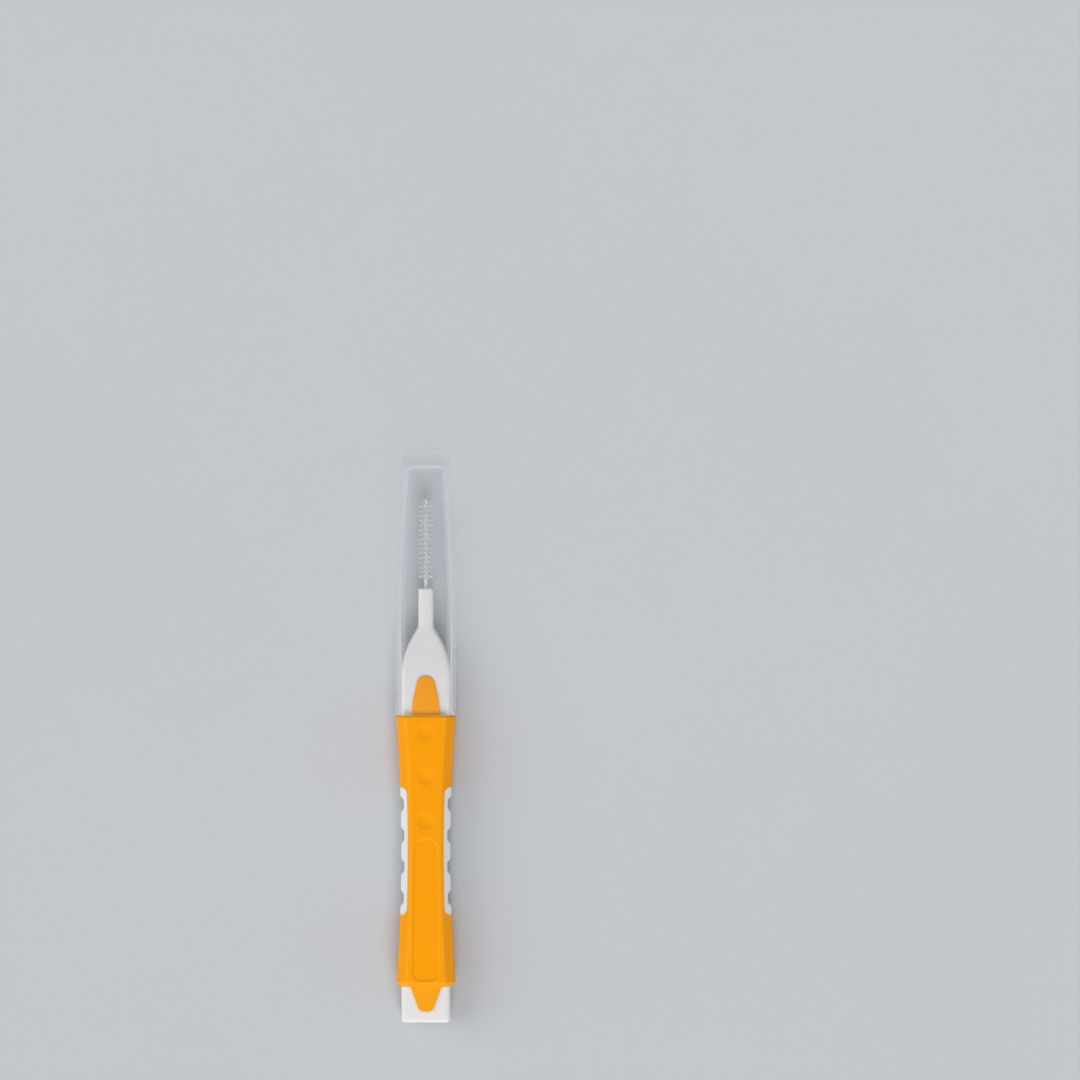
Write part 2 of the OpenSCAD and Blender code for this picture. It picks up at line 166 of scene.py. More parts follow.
def grown(section: Section, distance: float) -> Section:
    """Grows a section by the same distance all round, or draws it in where that is negative."""
    return section[0] + distance, section[1] + distance, section[2] + distance


def rounded_end(
    y: float, way: int, radius: float, steps: int, section: Callable[[float], Section]
) -> list[Ring]:
    """Rounds off an end of a moulded bar, whose long edges keep half their rounding there.

    Args:
        y: Place of the end's flat face.
        way: 1 if the bar goes on from there towards the tip, -1 if towards the foot.
        radius: The end's rounding.
        steps: Flat steps in it.
        section: Gives the bar's section at a place along it.

    Returns:
        The rings, from the flat face on.
    """
    rings: list[Ring] = []
    for angle in np.linspace(0.0, math.pi / 2, steps + 1):
        place = y + way * radius * (1 - math.cos(angle))
        full = section(place)
        half_w, half_t, edge = grown(full, radius * (math.sin(angle) - 1))
        rings.append(moulded_ring(place, (half_w, half_t, max(edge, full[2] / 2))))
    return rings


def round_ring(
    middle: np.ndarray, radius: float, first: np.ndarray, second: np.ndarray, sides: int
) -> Ring:
    """Makes one ring of a round strand, from its middle and two directions square to it."""
    angles = np.linspace(0, 2 * math.pi, sides, endpoint=False)[:, None]
    return middle + radius * (np.cos(angles) * first + np.sin(angles) * second)


def rounded_corner(
    before: Vector, point: Vector, after: Vector, radius: float, steps: int
) -> list[Vector]:
    """Rounds one corner of an outline.

    Args:
        before: The corner before it.
        point: The corner itself.
        after: The corner after it.
        radius: The rounding, or 0 to keep the corner.
        steps: Flat steps in the rounding.

    Returns:
        The points that stand for the corner.
    """
    if radius == 0:
        return [point]
    to_before = (before - point).normalized()
    to_after = (after - point).normalized()
    half = to_before.angle(to_after) / 2
    centre = point + (to_before + to_after).normalized() * (radius / math.sin(half))
    reach = radius / math.tan(half)
    start = point + to_before * reach - centre
    stop = point + to_after * reach - centre
    turn = math.pi - 2 * half
    return [
        centre
        + (start * math.sin((1 - step / steps) * turn) + stop * math.sin(step / steps * turn))
        / math.sin(turn)
        for step in range(steps + 1)
    ]


def rounded_outline(corners: list[Corner], steps: int = 12) -> np.ndarray:
    """Makes an outline from corners that each have their own rounding.

    Args:
        corners: Each corner's place across, place along and rounding.
        steps: Flat steps in each rounding.

    Returns:
        The outline's points, as across and along.
    """
    points: list[Vector] = []
    for index, (x, y, radius) in enumerate(corners):
        before = Vector(corners[index - 1][:2])
        after = Vector(corners[(index + 1) % len(corners)][:2])
        points += rounded_corner(before, Vector((x, y)), after, radius, steps)
    return np.array([tuple(point) for point in points])


def both_sides(right: list[Corner]) -> np.ndarray:
    """Makes an outline from the corners of its right half."""
    return rounded_outline(right + [(-x, y, radius) for x, y, radius in reversed(right)])


def drawn_in(outline: np.ndarray, distance: float) -> np.ndarray:
    """Moves an outline inwards by the same distance all round.

    Args:
        outline: The points of a rounded outline, in order.
        distance: How far each point moves.

    Returns:
        The moved points.
    """
    along = np.roll(outline, -1, axis=0) - np.roll(outline, 1, axis=0)
    along /= np.linalg.norm(along, axis=1)[:, None]
    inward = np.column_stack((-along[:, 1], along[:, 0]))
    if np.einsum("ij,ij->i", inward, outline.mean(axis=0) - outline).sum() < 0:
        inward = -inward
    return outline + distance * inward


def mark_edges(mesh: bpy.types.Mesh) -> None:
    """Keeps on each point how far it stands out from, or sinks below, the skin round it.

    The renderer's own measure of that is no use here: it merges points that lie closer than a
    third of a millimetre, where the skin slopes at 45 degrees.

    Args:
        mesh: The mesh, which gets the new attribute.
    """
    count = len(mesh.vertices)
    places, normals = np.empty(count * 3), np.empty(count * 3)
    mesh.vertices.foreach_get("co", places)
    mesh.vertices.foreach_get("normal", normals)
    ends = np.empty(len(mesh.edges) * 2, dtype=np.int32)
    mesh.edges.foreach_get("vertices", ends)
    first, last = ends.reshape(-1, 2).T
    places = places.reshape(-1, 3)
    away = places[last] - places[first]
    away /= np.maximum(np.linalg.norm(away, axis=1, keepdims=True), TINY)
    pull, met = np.zeros((count, 3)), np.zeros(count)
    for end, sign in ((first, 1.0), (last, -1.0)):
        np.add.at(pull, end, sign * away)
        np.add.at(met, end, 1.0)
    rise = (pull / np.maximum(met, 1.0)[:, None] * normals.reshape(-1, 3)).sum(axis=1)
    rise = np.arccos(np.clip(rise, -1.0, 1.0)) / math.pi - 0.5
    near = rise.copy()
    for end, other in ((first, last), (last, first)):
        np.add.at(near, end, rise[other])
    kept = mesh.attributes.new(EDGE_MARK, "FLOAT", "POINT")
    kept.data.foreach_set("value", near / (met + 1.0))


def linked(name: str, data: bpy.types.ID) -> bpy.types.Object:
    """Makes an object and links it to the scene.

    Args:
        name: The object's name.
        data: The mesh, lamp or camera.

    Returns:
        The new object.
    """
    made = bpy.data.objects.new(name, data)
    bpy.context.scene.collection.objects.link(made)
    return made


class Skin:
    """The points and faces of one piece in the making, in millimetres."""

    def __init__(self) -> None:
        """Starts with nothing."""
        self.points: list[np.ndarray] = []
        self.faces: list[tuple[int, ...]] = []
        self.count = 0

    def add(self, points: np.ndarray, faces: list[tuple[int, ...]]) -> None:
        """Adds a patch of points with faces that count from its own first point.

        Args:
            points: The points, one row each.
            faces: The faces, as places in points.
        """
        self.faces += [tuple(corner + self.count for corner in face) for face in faces]
        self.points.append(points)
        self.count += len(points)

    def loft(self, rings: list[Ring]) -> None:
        """Joins rings of equal size into a closed skin with flat ends.

        Args:
            rings: The rings, in order along the skin.
        """
        around = len(rings[0])
        faces: list[tuple[int, ...]] = []
        for ring in range(len(rings) - 1):
            low, high = ring * around, (ring + 1) * around
            for place in range(around):
                after = (place + 1) % around
                faces.append((low + place, low + after, high + after, high + place))
        last = (len(rings) - 1) * around
        faces.append(tuple(range(around - 1, -1, -1)))
        faces.append(tuple(range(last, last + around)))
        self.add(np.concatenate(rings), faces)

    @classmethod
    def of(cls, rings: list[Ring]) -> "Skin":
        """Makes a skin of one closed loft.

        Args:
            rings: The rings, in order along it.

        Returns:
            The skin.
        """
        skin = cls()
        skin.loft(rings)
        return skin

    def sculpt(self) -> bmesh.types.BMesh:
        """Gives the skin as an editable mesh, still in millimetres.

        Returns:
            The mesh, which the caller frees.
        """
        mesh = bpy.data.meshes.new("work")
        mesh.from_pydata(np.concatenate(self.points).tolist(), [], self.faces)
        sculpted = bmesh.new()
        sculpted.from_mesh(mesh)
        bpy.data.meshes.remove(mesh)
        return sculpted

    def take(self, sculpted: bmesh.types.BMesh) -> None:
        """Adds an edited mesh to the skin, with its faces in an order that is always the same.

        Args:
            sculpted: The mesh to add, in millimetres, which is freed.
        """
        sculpted.verts.index_update()
        points = np.array([tuple(vert.co) for vert in sculpted.verts])
        self.add(points, sorted(tuple(v.index for v in face.verts) for face in sculpted.faces))
        sculpted.free()

    def piece(self, name: str, sharp: float = 40.0) -> bpy.types.Object:
        """Turns the skin into a Blender object, in metres and on the floor.

        Args:
            name: The piece's name.
            sharp: The angle in degrees from which an edge stays sharp.

        Returns:
            The new object, linked to the scene.
        """
        sculpted = self.sculpt()
        bmesh.ops.recalc_face_normals(sculpted, faces=sculpted.faces)
        mesh = bpy.data.meshes.new(name)
        sculpted.to_mesh(mesh)
        sculpted.free()
        mesh.transform(Matrix.Translation((0, 0, MID_HEIGHT * MM)) @ Matrix.Scale(MM, 4))
        mesh.shade_smooth()
        mesh.set_sharp_from_angle(angle=math.radians(sharp))
        mark_edges(mesh)
        return linked(name, mesh)


def seat(
    piece: bpy.types.Object, look: bpy.types.Material, body: Body, slot: Slot, *nodes: str
) -> bpy.types.Object:
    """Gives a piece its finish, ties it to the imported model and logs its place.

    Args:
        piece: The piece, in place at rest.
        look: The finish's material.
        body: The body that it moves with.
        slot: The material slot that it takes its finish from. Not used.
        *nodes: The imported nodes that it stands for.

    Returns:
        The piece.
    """
    piece.data.materials.append(look)
    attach(piece, body.value)
    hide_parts(*nodes)
    spread = np.array([tuple(vert.co) for vert in piece.data.vertices]) / MM
    low, high = spread.min(axis=0).round(3), spread.max(axis=0).round(3)
    faces = len(piece.data.polygons)
    log.info("%s on %s: %d faces, %s to %s mm", piece.name, body.value, faces, low, high)
    return piece


# Finishes


class Bench:
    """A node tree while its nodes are being placed and joined."""

    def __init__(self, tree: bpy.types.NodeTree) -> None:
        """Works on the tree of a material, a group or the world."""
        self.tree = tree

    def node(
        self, kind: str, inputs: Inputs | None = None, **settings: object
    ) -> bpy.types.NodeOutputs:
        """Places a node.

        Args:
            kind: Blender's name for the kind of node.
            inputs: What its inputs take.
            **settings: Values for its own settings, which come before its inputs.

        Returns:
            The new node's outputs.
        """
        made = self.tree.nodes.new(kind)
        for name, value in settings.items():
            setattr(made, name, value)
        for name, value in (inputs or {}).items():
            if isinstance(value, bpy.types.NodeSocket):
                self.tree.links.new(value, made.inputs[name])
            else:
                made.inputs[name].default_value = value
        return made.outputs

    def sum(self, operation: str, first: object, second: object) -> bpy.types.NodeSocket:
        """Gives the result of a sum such as ADD or MULTIPLY on two numbers or sockets."""
        return self.node("ShaderNodeMath", {0: first, 1: second}, operation=operation)[0]

    def mixed(self, share: object, first: object, second: object) -> bpy.types.NodeSocket:
        """Gives a mix of two colours, with a share of the second."""
        inputs = {"Factor": share, "A": first, "B": second}
        return self.node("ShaderNodeMix", inputs, data_type="RGBA")["Result"]

    def merged(self, share: object, first: object, second: object) -> bpy.types.NodeSocket:
        """Gives a mix of two shaders, with a share of the second."""
        return self.node("ShaderNodeMixShader", {0: share, 1: first, 2: second})["Shader"]

    def glow(self, colour: Colour, strength: object) -> bpy.types.NodeSocket:
        """Gives the light of a background."""
        inputs = {"Color": (*colour, 1.0), "Strength": strength}
        return self.node("ShaderNodeBackground", inputs)["Background"]

    def ranged(
        self, value: object, start: Span, stop: Span, **settings: object
    ) -> bpy.types.NodeSocket:
        """Moves a value from one range to another.

        Args:
            value: The socket with the value.
            start: The range that it lies in.
            stop: The range that it goes to.
            **settings: The node's own settings.

        Returns:
            The socket with the new value.
        """
        inputs = {"Value": value, "From Min": start[0], "From Max": start[1]}
        inputs |= {"To Min": stop[0], "To Max": stop[1]}
        return self.node("ShaderNodeMapRange", inputs, **settings)["Result"]

    def noise(
        self, place: object, size: object, detail: float, roughness: float = 0.5
    ) -> bpy.types.NodeSocket:
        """Places a noise.

        Args:
            place: The socket with the place in millimetres.
            size: The socket with the size of its patches in millimetres.
            detail: How many finer noises lie on it.
            roughness: How strong these are.

        Returns:
            The socket with its value.
        """
        inputs = {"Vector": place, "Scale": self.sum("DIVIDE", 1.0, size)}
        inputs |= {"Detail": detail, "Roughness": roughness}
        return self.node("ShaderNodeTexNoise", inputs)["Fac"]

    def in_millimetres(self, stretch: bpy.types.NodeSocket | None = None) -> bpy.types.NodeSocket:
        """Gives the place on the piece in millimetres.

        Args:
            stretch: A socket that divides the place along the brush, for drawn-out patterns.

        Returns:
            The socket with the place.
        """
        inputs = {0: self.node("ShaderNodeTexCoord")["Object"], "Scale": 1.0 / MM}
        place = self.node("ShaderNodeVectorMath", inputs, operation="SCALE")[0]
        if stretch is None:
            return place
        parts = self.node("ShaderNodeSeparateXYZ", {0: place})
        along = self.sum("DIVIDE", parts["Y"], stretch)
        return self.node("ShaderNodeCombineXYZ", {"X": parts["X"], "Y": along, "Z": parts["Z"]})[0]


class Effects:
    """The shader node groups that more than one finish uses, each made once."""

    def __init__(self) -> None:
        """Makes the groups."""
        self.grain = self.make_grain()
        self.tint = self.make_tint()
        self.painted_edge_light = self.make_painted_edge_light()

    @staticmethod
    def group(
        name: str, inputs: dict[str, float | tuple[float, ...]], outputs: dict[str, Kind]
    ) -> tuple[Bench, bpy.types.NodeOutputs]:
        """Starts a group with named sockets.

        Args:
            name: The group's name.
            inputs: Each input's plain value, by name: a number or a colour.
            outputs: Each output's kind, by name.

        Returns:
            The bench to build on, and what the group is given.
        """
        tree = bpy.data.node_groups.new(name, "ShaderNodeTree")
        for label, value in inputs.items():
            kind = Kind.COLOUR if isinstance(value, tuple) else Kind.NUMBER
            socket = tree.interface.new_socket(label, in_out="INPUT", socket_type=kind.value)
            socket.default_value = value
        for label, kind in outputs.items():
            tree.interface.new_socket(label, in_out="OUTPUT", socket_type=kind.value)
        bench = Bench(tree)
        return bench, bench.node("NodeGroupInput")

    def make_grain(self) -> bpy.types.NodeTree:
        """Makes the fine grain that a mould leaves, with a slow ripple under it.

        Returns:
            The group, with a height for a bump and a slow share for roughness.
        """
        bench, given = self.group(
            "mould_grain",
            {"Grain Size": 0.2, "Stretch": 1.0, "Ripple Size": 3.0, "Ripple Share": 0.4},
            {"Height": Kind.NUMBER, "Gloss": Kind.NUMBER},
        )
        place = bench.in_millimetres(given["Stretch"])
        fine = bench.noise(place, given["Grain Size"], detail=3.0, roughness=0.6)
        slow = bench.noise(place, given["Ripple Size"], detail=2.0, roughness=0.45)
        ripple = bench.sum("MULTIPLY", slow, given["Ripple Share"])
        grain = bench.sum("MULTIPLY", fine, bench.sum("SUBTRACT", 1.0, given["Ripple Share"]))
        bench.node("NodeGroupOutput", {"Height": bench.sum("ADD", ripple, grain), "Gloss": slow})
        return bench.tree

    def make_tint(self) -> bpy.types.NodeTree:
        """Makes the slow drift of colour in moulded plastic.

        Returns:
            The group, with the drifting colour.
        """
        pale, grey = (0.8, 0.8, 0.8, 1.0), (0.7, 0.7, 0.7, 1.0)
        bench, given = self.group(
            "tint_drift",
            {"Colour": pale, "Drift": grey, "Size": 6.0, "Amount": 0.5},
            {"Colour": Kind.COLOUR},
        )
        noise = bench.noise(bench.in_millimetres(), given["Size"], detail=4.0, roughness=0.55)
        share = bench.sum("MULTIPLY", bench.ranged(noise, NOISE_SPAN, (0.0, 1.0)), given["Amount"])
        shown = bench.mixed(share, given["Colour"], given["Drift"])
        bench.node("NodeGroupOutput", {"Colour": shown})
        return bench.tree

    def make_painted_edge_light(self) -> bpy.types.NodeTree:
        """Makes masks that paint a highlight on raised edges and shade in the creases beside them.

        Returns:
            The group, with a mask for the painted edge highlight and one for the painted crease
            shade.
        """
        bench, given = self.group(
            "painted_edge_highlight_and_crease_shade",
            {"Reach": 0.02, "Patch Size": 1.2},
            {"Painted Highlight": Kind.NUMBER, "Painted Shade": Kind.NUMBER},
        )
        rise = bench.node("ShaderNodeAttribute", attribute_name=EDGE_MARK)["Fac"]
        patch = bench.noise(bench.in_millimetres(), given["Patch Size"], detail=3.0)
        uneven = bench.sum("ADD", patch, NOISE_SPAN[0])
        masks: Inputs = {}
        # Raised points get the painted highlight mask, and sunken points get the painted shade mask
        for sign, label in ((1.0, "Painted Highlight"), (-1.0, "Painted Shade")):
            share = bench.sum("DIVIDE", bench.sum("MULTIPLY", rise, sign), given["Reach"])
            held = bench.node("ShaderNodeClamp", {"Value": share})["Result"]
            masks[label] = bench.sum("MULTIPLY", held, uneven)
        bench.node("NodeGroupOutput", masks)
        return bench.tree


@dataclass(frozen=True)
class Moulded:
    """A moulded plastic, with what all of them have and the shader's plain values."""

    name: str
    colour: Colour
    drift: Colour
    roughness: float
    gloss_range: float = 0.06
    grain_size: float = 0.2
    grain_height: float = 0.004
    stretch: float = 1.0
    ripple_size: float = 4.0
    ripple_share: float = 0.4
    drift_size: float = 6.0
    drift_amount: float = 0.5
    # The edge colour is a painted highlight on raised edges, and the crease colour is painted shade
    # in creases
    edge_highlight_colour: Colour | None = None
    crease_shade_colour: Colour | None = None
    edge_reach: float = 0.025
    lamp_share: float = 0.0
    most_turns: float = 99.0
    plain: ClassVar[Inputs] = {}

    def coloured(self, bench: Bench, effects: Effects) -> bpy.types.NodeSocket:
        """Builds the colour with its drift, a painted highlight on raised edges and painted shade
        in creases.

        Args:
            bench: The material's bench.
            effects: The shared effects.

        Returns:
            The socket with the colour.
        """
        drift = {
            "Colour": (*self.colour, 1.0),
            "Drift": (*self.drift, 1.0),
            "Size": self.drift_size,
            "Amount": self.drift_amount,
        }
        shown = bench.node("ShaderNodeGroup", drift, node_tree=effects.tint)["Colour"]
        if self.edge_highlight_colour is None and self.crease_shade_colour is None:
            return shown
        # Paints a highlight on raised edges and shade in creases, made patchy by a noise
        painted_edge_light = bench.node("ShaderNodeGroup", {"Reach": self.edge_reach}, node_tree=effects.painted_edge_light)
        for label, colour in (("Painted Highlight", self.edge_highlight_colour), ("Painted Shade", self.crease_shade_colour)):
            if colour is not None:
                shown = bench.mixed(painted_edge_light[label], shown, (*colour, 1.0))
        return shown

    def surface(self, bench: Bench, effects: Effects) -> bpy.types.NodeSocket:
        """Builds the shader with its colour, roughness and grain.

        Args:
            bench: The material's bench.
            effects: The shared effects.

        Returns:
            The shader's socket.
        """
        sizes = {
            "Grain Size": self.grain_size,
            "Stretch": self.stretch,
            "Ripple Size": self.ripple_size,
            "Ripple Share": self.ripple_share,
        }
        grain = bench.node("ShaderNodeGroup", sizes, node_tree=effects.grain)
        span = (self.roughness - self.gloss_range, self.roughness + self.gloss_range)
        bump = {"Strength": 1.0, "Distance": self.grain_height * MM, "Height": grain["Height"]}
        changing = {
            "Base Color": self.coloured(bench, effects),
            "Roughness": bench.ranged(grain["Gloss"], NOISE_SPAN, span),
            "Normal": bench.node("ShaderNodeBump", bump)["Normal"],
        }
        return bench.node("ShaderNodeBsdfPrincipled", self.plain | changing)["BSDF"]

    def outcome(self, bench: Bench, shader: bpy.types.NodeSocket) -> bpy.types.NodeSocket:
        """Gives what the material's output takes, with a share of lamp light let through.

        Light that a clear wall has mirrored more often than most_turns goes straight on, so
        that the wall's edges glow as they do in real plastic and don't end in black.

        Args:
            bench: The material's bench.
            shader: The finished shader.

        Returns:
            The socket for the output.
        """
        if not self.lamp_share:
            return shader
        rays = bench.node("ShaderNodeLightPath")
        clear = bench.node("ShaderNodeBsdfTransparent", {"Color": (*self.colour, 1.0)})["BSDF"]
        share = bench.sum("MULTIPLY", rays["Is Shadow Ray"], self.lamp_share)
        tired = bench.sum("GREATER_THAN", rays["Glossy Depth"], self.most_turns)
        return bench.merged(bench.sum("MAXIMUM", share, tired), shader, clear)

    def material(self, effects: Effects) -> bpy.types.Material:
        """Makes the material.

        Args:
            effects: The shared effects.

        Returns:
            The new material.
        """
        made = bpy.data.materials.new(self.name)
        made.use_nodes = True
        made.node_tree.nodes.clear()
        bench = Bench(made.node_tree)
        shown = self.outcome(bench, self.surface(bench, effects))
        bench.node("ShaderNodeOutputMaterial", {"Surface": shown})
        return made


@dataclass(frozen=True)
class SoftElastomer(Moulded):
    """The soft orange elastomer of the sleeve, satin and a little deep."""

    name: str = "soft_orange_elastomer"
    colour: Colour = (0.95, 0.356, 0.0)
    drift: Colour = (0.92, 0.331, 0.0)
    roughness: float = 0.44
    gloss_range: float = 0.05
    grain_size: float = 0.14
    grain_height: float = 0.009
    # Painted highlight on raised edges in a paler orange, and painted shade in creases in a deeper
    # orange
    edge_highlight_colour: Colour | None = (0.96, 0.395, 0.015)
    crease_shade_colour: Colour | None = (0.92, 0.318, 0.0)
    plain: ClassVar[Inputs] = {
        "IOR": 1.45,
        "Specular IOR Level": 0.22,
        "Subsurface Weight": 0.12,
        "Subsurface Radius": (1.0, 0.4, 0.1),
        "Subsurface Scale": 0.35 * MM,
    }


@dataclass(frozen=True)
class StemPolymer(Moulded):
    """The white moulding of stem, neck and ribbed side grips."""

    name: str = "white_stem_polymer"
    colour: Colour = (0.8, 0.785, 0.775)
    drift: Colour = (0.76, 0.75, 0.745)
    roughness: float = 0.33
    gloss_range: float = 0.05
    grain_size: float = 0.3
    grain_height: float = 0.002
    # Painted shade in creases, a slightly darker white
    crease_shade_colour: Colour | None = (0.77, 0.755, 0.745)
    plain: ClassVar[Inputs] = {
        "IOR": 1.49,
        "Subsurface Weight": 0.35,
        "Subsurface Radius": (1.0, 0.9, 0.8),
        "Subsurface Scale": 0.6 * MM,
    }


@dataclass(frozen=True)
class MilkyPolymer(Moulded):
    """The clear, slightly milky plastic of the cap."""

    name: str = "milky_cap_polymer"
    colour: Colour = (0.985, 0.99, 0.995)
    drift: Colour = (0.965, 0.975, 0.985)
    roughness: float = 0.12
    gloss_range: float = 0.04
    grain_size: float = 0.5
    grain_height: float = 0.0012
    stretch: float = 5.0
    ripple_size: float = 2.5
    ripple_share: float = 0.7
    lamp_share: float = 1.0
    most_turns: float = UNDER_ONE
    plain: ClassVar[Inputs] = {"IOR": 1.49, "Transmission Weight": 0.996}


@dataclass(frozen=True)
class CoatedWire(Moulded):
    """The thin white coat over the steel of the twisted wire."""

    name: str = "white_coated_wire"
    colour: Colour = (0.93, 0.93, 0.93)
    drift: Colour = (0.86, 0.865, 0.875)
    roughness: float = 0.34
    grain_size: float = 0.05
    grain_height: float = 0.002
    stretch: float = 6.0
    drift_size: float = 0.8
    plain: ClassVar[Inputs] = {"IOR": 1.5, "Coat Weight": 0.15, "Coat Roughness": 0.2}


@dataclass(frozen=True)
class NylonFilament(Moulded):
    """The fine white nylon of the bristles, which lets some light through."""

    name: str = "white_nylon_filament"
    colour: Colour = (0.94, 0.945, 0.95)
    drift: Colour = (0.9, 0.91, 0.92)
    roughness: float = 0.34
    grain_size: float = 0.06
    grain_height: float = 0.001
    drift_size: float = 0.5
    lamp_share: float = 0.7
    plain: ClassVar[Inputs] = {"IOR": 1.4, "Transmission Weight": 0.55}


@dataclass(frozen=True)
class PaleFloor(Moulded):
    """The plain pale floor."""

    name: str = "plain_pale_floor"
    colour: Colour = (0.54, 0.56, 0.59)
    drift: Colour = (0.53, 0.55, 0.58)
    roughness: float = 0.7
    grain_size: float = 0.6
    grain_height: float = 0.004
    drift_size: float = 60.0
    plain: ClassVar[Inputs] = {"Specular IOR Level": 0.0}


# The brush's parts


@dataclass
class Places:
    """Places along the brush that its parts share."""

    stub_l: float = 5.4
    grip_l: float = 40.6
    shoulder_l: float = 6.0
    taper_l: float = 7.2
    neck_l: float = 5.8
    wire_l: float = 13.45
    rear_y: float = -37.1

    @property
    def foot_y(self) -> float:
        """The rear end of the stub."""
        return self.rear_y - self.stub_l

    @property
    def front_y(self) -> float:
        """The front end of the sleeve."""
        return self.rear_y + self.grip_l

    @property
    def waist_y(self) -> float:
        """The narrowest place of the grip."""
        return (self.rear_y + self.front_y) / 2

    @property
    def taper_y(self) -> float:
        """Where the shoulders start to draw in."""
        return self.front_y + self.shoulder_l

    @property
    def neck_y(self) -> float:
        """Where the neck starts."""
        return self.taper_y + self.taper_l

    @property
    def neck_tip_y(self) -> float:
        """Where the wire leaves the neck."""
        return self.neck_y + self.neck_l

    @property
    def wire_tip_y(self) -> float:
        """The folded tip of the wire."""
        return self.neck_tip_y + self.wire_l


@dataclass
class Grip:
    """The grip's outer form: the orange sleeve and the ribbed white sides in its windows."""

    places: Places
    end_w: float = 8.9
    waist_w: float = 7.4
    thickness: float = 6.0
    bevel: float = 1.4
    bevel_round: float = 0.6
    least_round: float = 0.2
    bevel_share: float = 0.414
    rear_chamfer: float = 0.6
    front_chamfer: float = 0.25
    rear_ease: float = 0.06
    front_ease: float = 0.05
    least_inset: float = 0.002
    dimple_d: float = 2.6
    dimple_depth: float = 0.25
    dimple_pitch: float = 6.65
    dimple_inset: float = 2.55
    dimple_count: int = 3
    dimple_ease: float = 0.05
    dimple_reach: float = 0.2
    panel_l: float = 21.2
    panel_front_w: float = 3.4
    panel_rear_w: float = 4.0
    panel_round: float = 1.3
    panel_arch_share: float = 0.44
    panel_depth: float = 0.15
    panel_inset: float = 0.9
    panel_wall: float = 0.4
    pad_l: float = 19.1
    pad_t: float = 5.3
    pad_round: float = 0.9
    pad_root_x: float = 2.2
    pad_margin: float = 0.2
    far: float = 9.0
    face_margin: float = 0.02
    notch_count: int = 4
    notch_pitch: float = 4.7
    notch_w: float = 2.4
    notch_depth: float = 0.5
    notch_ease: float = 0.08
    notch_reach: float = 0.5
    least_notch: float = 0.001
    seam_depth: float = 0.05
    seam_reach: float = 0.15
    row_step: float = 0.12
    rear_rows: tuple[float, ...] = (0, 0.05, 0.2, 0.45, 0.7, 0.85, 0.95, 1.05, 1.2)
    front_rows: tuple[float, ...] = (1.6, 1.2, 0.95, 0.7, 0.4, 0.12, 0)
    side_steps: int = 10
    slope_steps: int = 11
    round_steps: int = 4
    face_steps: int = 36

    def side(self, y: float | np.ndarray) -> float | np.ndarray:
        """Gives half the grip's width.

        Args:
            y: Place along the brush, or many.

        Returns:
            Half the width there.
        """
        sag = (self.end_w - self.waist_w) / 2
        radius = ((self.places.grip_l / 2) ** 2 + sag**2) / (2 * sag)
        return self.waist_w / 2 + radius - np.sqrt(radius**2 - (y - self.places.waist_y) ** 2)

    def inset(self, y: np.ndarray) -> np.ndarray:
        """Gives how far the slopes of the two ends draw the form in.

        Args:
            y: Places along the brush.

        Returns:
            The inset at each place.
        """
        rear = soft_rise(self.places.rear_y + self.rear_chamfer - y, self.rear_ease)
        front = soft_rise(y - self.places.front_y + self.front_chamfer, self.front_ease)
        return sum(np.where(slope < self.least_inset, 0.0, slope) for slope in (rear, front))

    def rows(self) -> np.ndarray:
        """Gives the places of the rings, closer together at the two ends.

        Returns:
            The places along the brush.
        """
        low, high = self.places.rear_y, self.places.front_y
        rear = low + self.rear_chamfer * np.array(self.rear_rows)
        front = high - self.front_chamfer * np.array(self.front_rows)
        count = int((front[0] - rear[-1]) / self.row_step)
        middle = np.linspace(rear[-1], front[0], count)[1:-1]
        return np.concatenate((rear, middle, front))

    def quarter(self, side_x: float, inset: float) -> np.ndarray:
        """Makes a quarter of a section, from the middle of a side to the middle of a face.

        Args:
            side_x: Half the width there.
            inset: How far the ends' slopes draw the section in.

        Returns:
            The points, as across and up.
        """
        half = self.thickness / 2
        low = Vector((side_x - inset, half - self.bevel - self.bevel_share * inset))
        high = Vector((side_x - self.bevel - self.bevel_share * inset, half - inset))
        start, stop = Vector((low.x, 0)), Vector((0, high.y))
        radius = max(self.bevel_round - inset, self.least_round)
        first = rounded_corner(start, low, high, radius, self.round_steps)
        second = rounded_corner(low, high, stop, radius, self.round_steps)
        side, slope, face = (
            [before.lerp(after, step / steps) for step in range(1, steps)]
            for before, after, steps in (
                (start, first[0], self.side_steps),
                (first[-1], second[0], self.slope_steps),
                (second[-1], stop, self.face_steps),
            )
        )
        return np.array([tuple(p) for p in (start, *side, *first, *slope, *second, *face, stop)])

    def ring(self, y: float, inset: float) -> Ring:
        """Makes one ring of the form.

        Args:
            y: Place along the brush.
            inset: How far the ends' slopes draw it in.

        Returns:
            The ring's points.
        """
        part = self.quarter(float(self.side(y)), inset)
        turns = (
            part[:-1],
            (part * (-1, 1))[:0:-1],
            (part * (-1, -1))[:-1],
            (part * (1, -1))[:0:-1],
        )
        flat = np.concatenate(turns)
        return np.column_stack((flat[:, 0], np.full(len(flat), y), flat[:, 1]))

    def dimples(self, x: np.ndarray, y: np.ndarray) -> np.ndarray:
        """Gives the depth of the three dimples on a broad face.

        Args:
            x: Places across the face.
            y: Places along it.

        Returns:
            The depth at each place.
        """
        ball = ((self.dimple_d / 2) ** 2 + self.dimple_depth**2) / (2 * self.dimple_depth)
        deep = np.zeros_like(x)
        for index in range(self.dimple_count):
            centre = self.places.front_y - self.dimple_inset - index * self.dimple_pitch
            away = np.minimum(x * x + (y - centre) ** 2, ball * ball)
            cap = np.sqrt(ball * ball - away) - (ball - self.dimple_depth)
            eased = soft_rise(cap, self.dimple_ease)
            deep = np.maximum(deep, np.where(cap > -self.dimple_reach, eased, 0.0))
        return deep

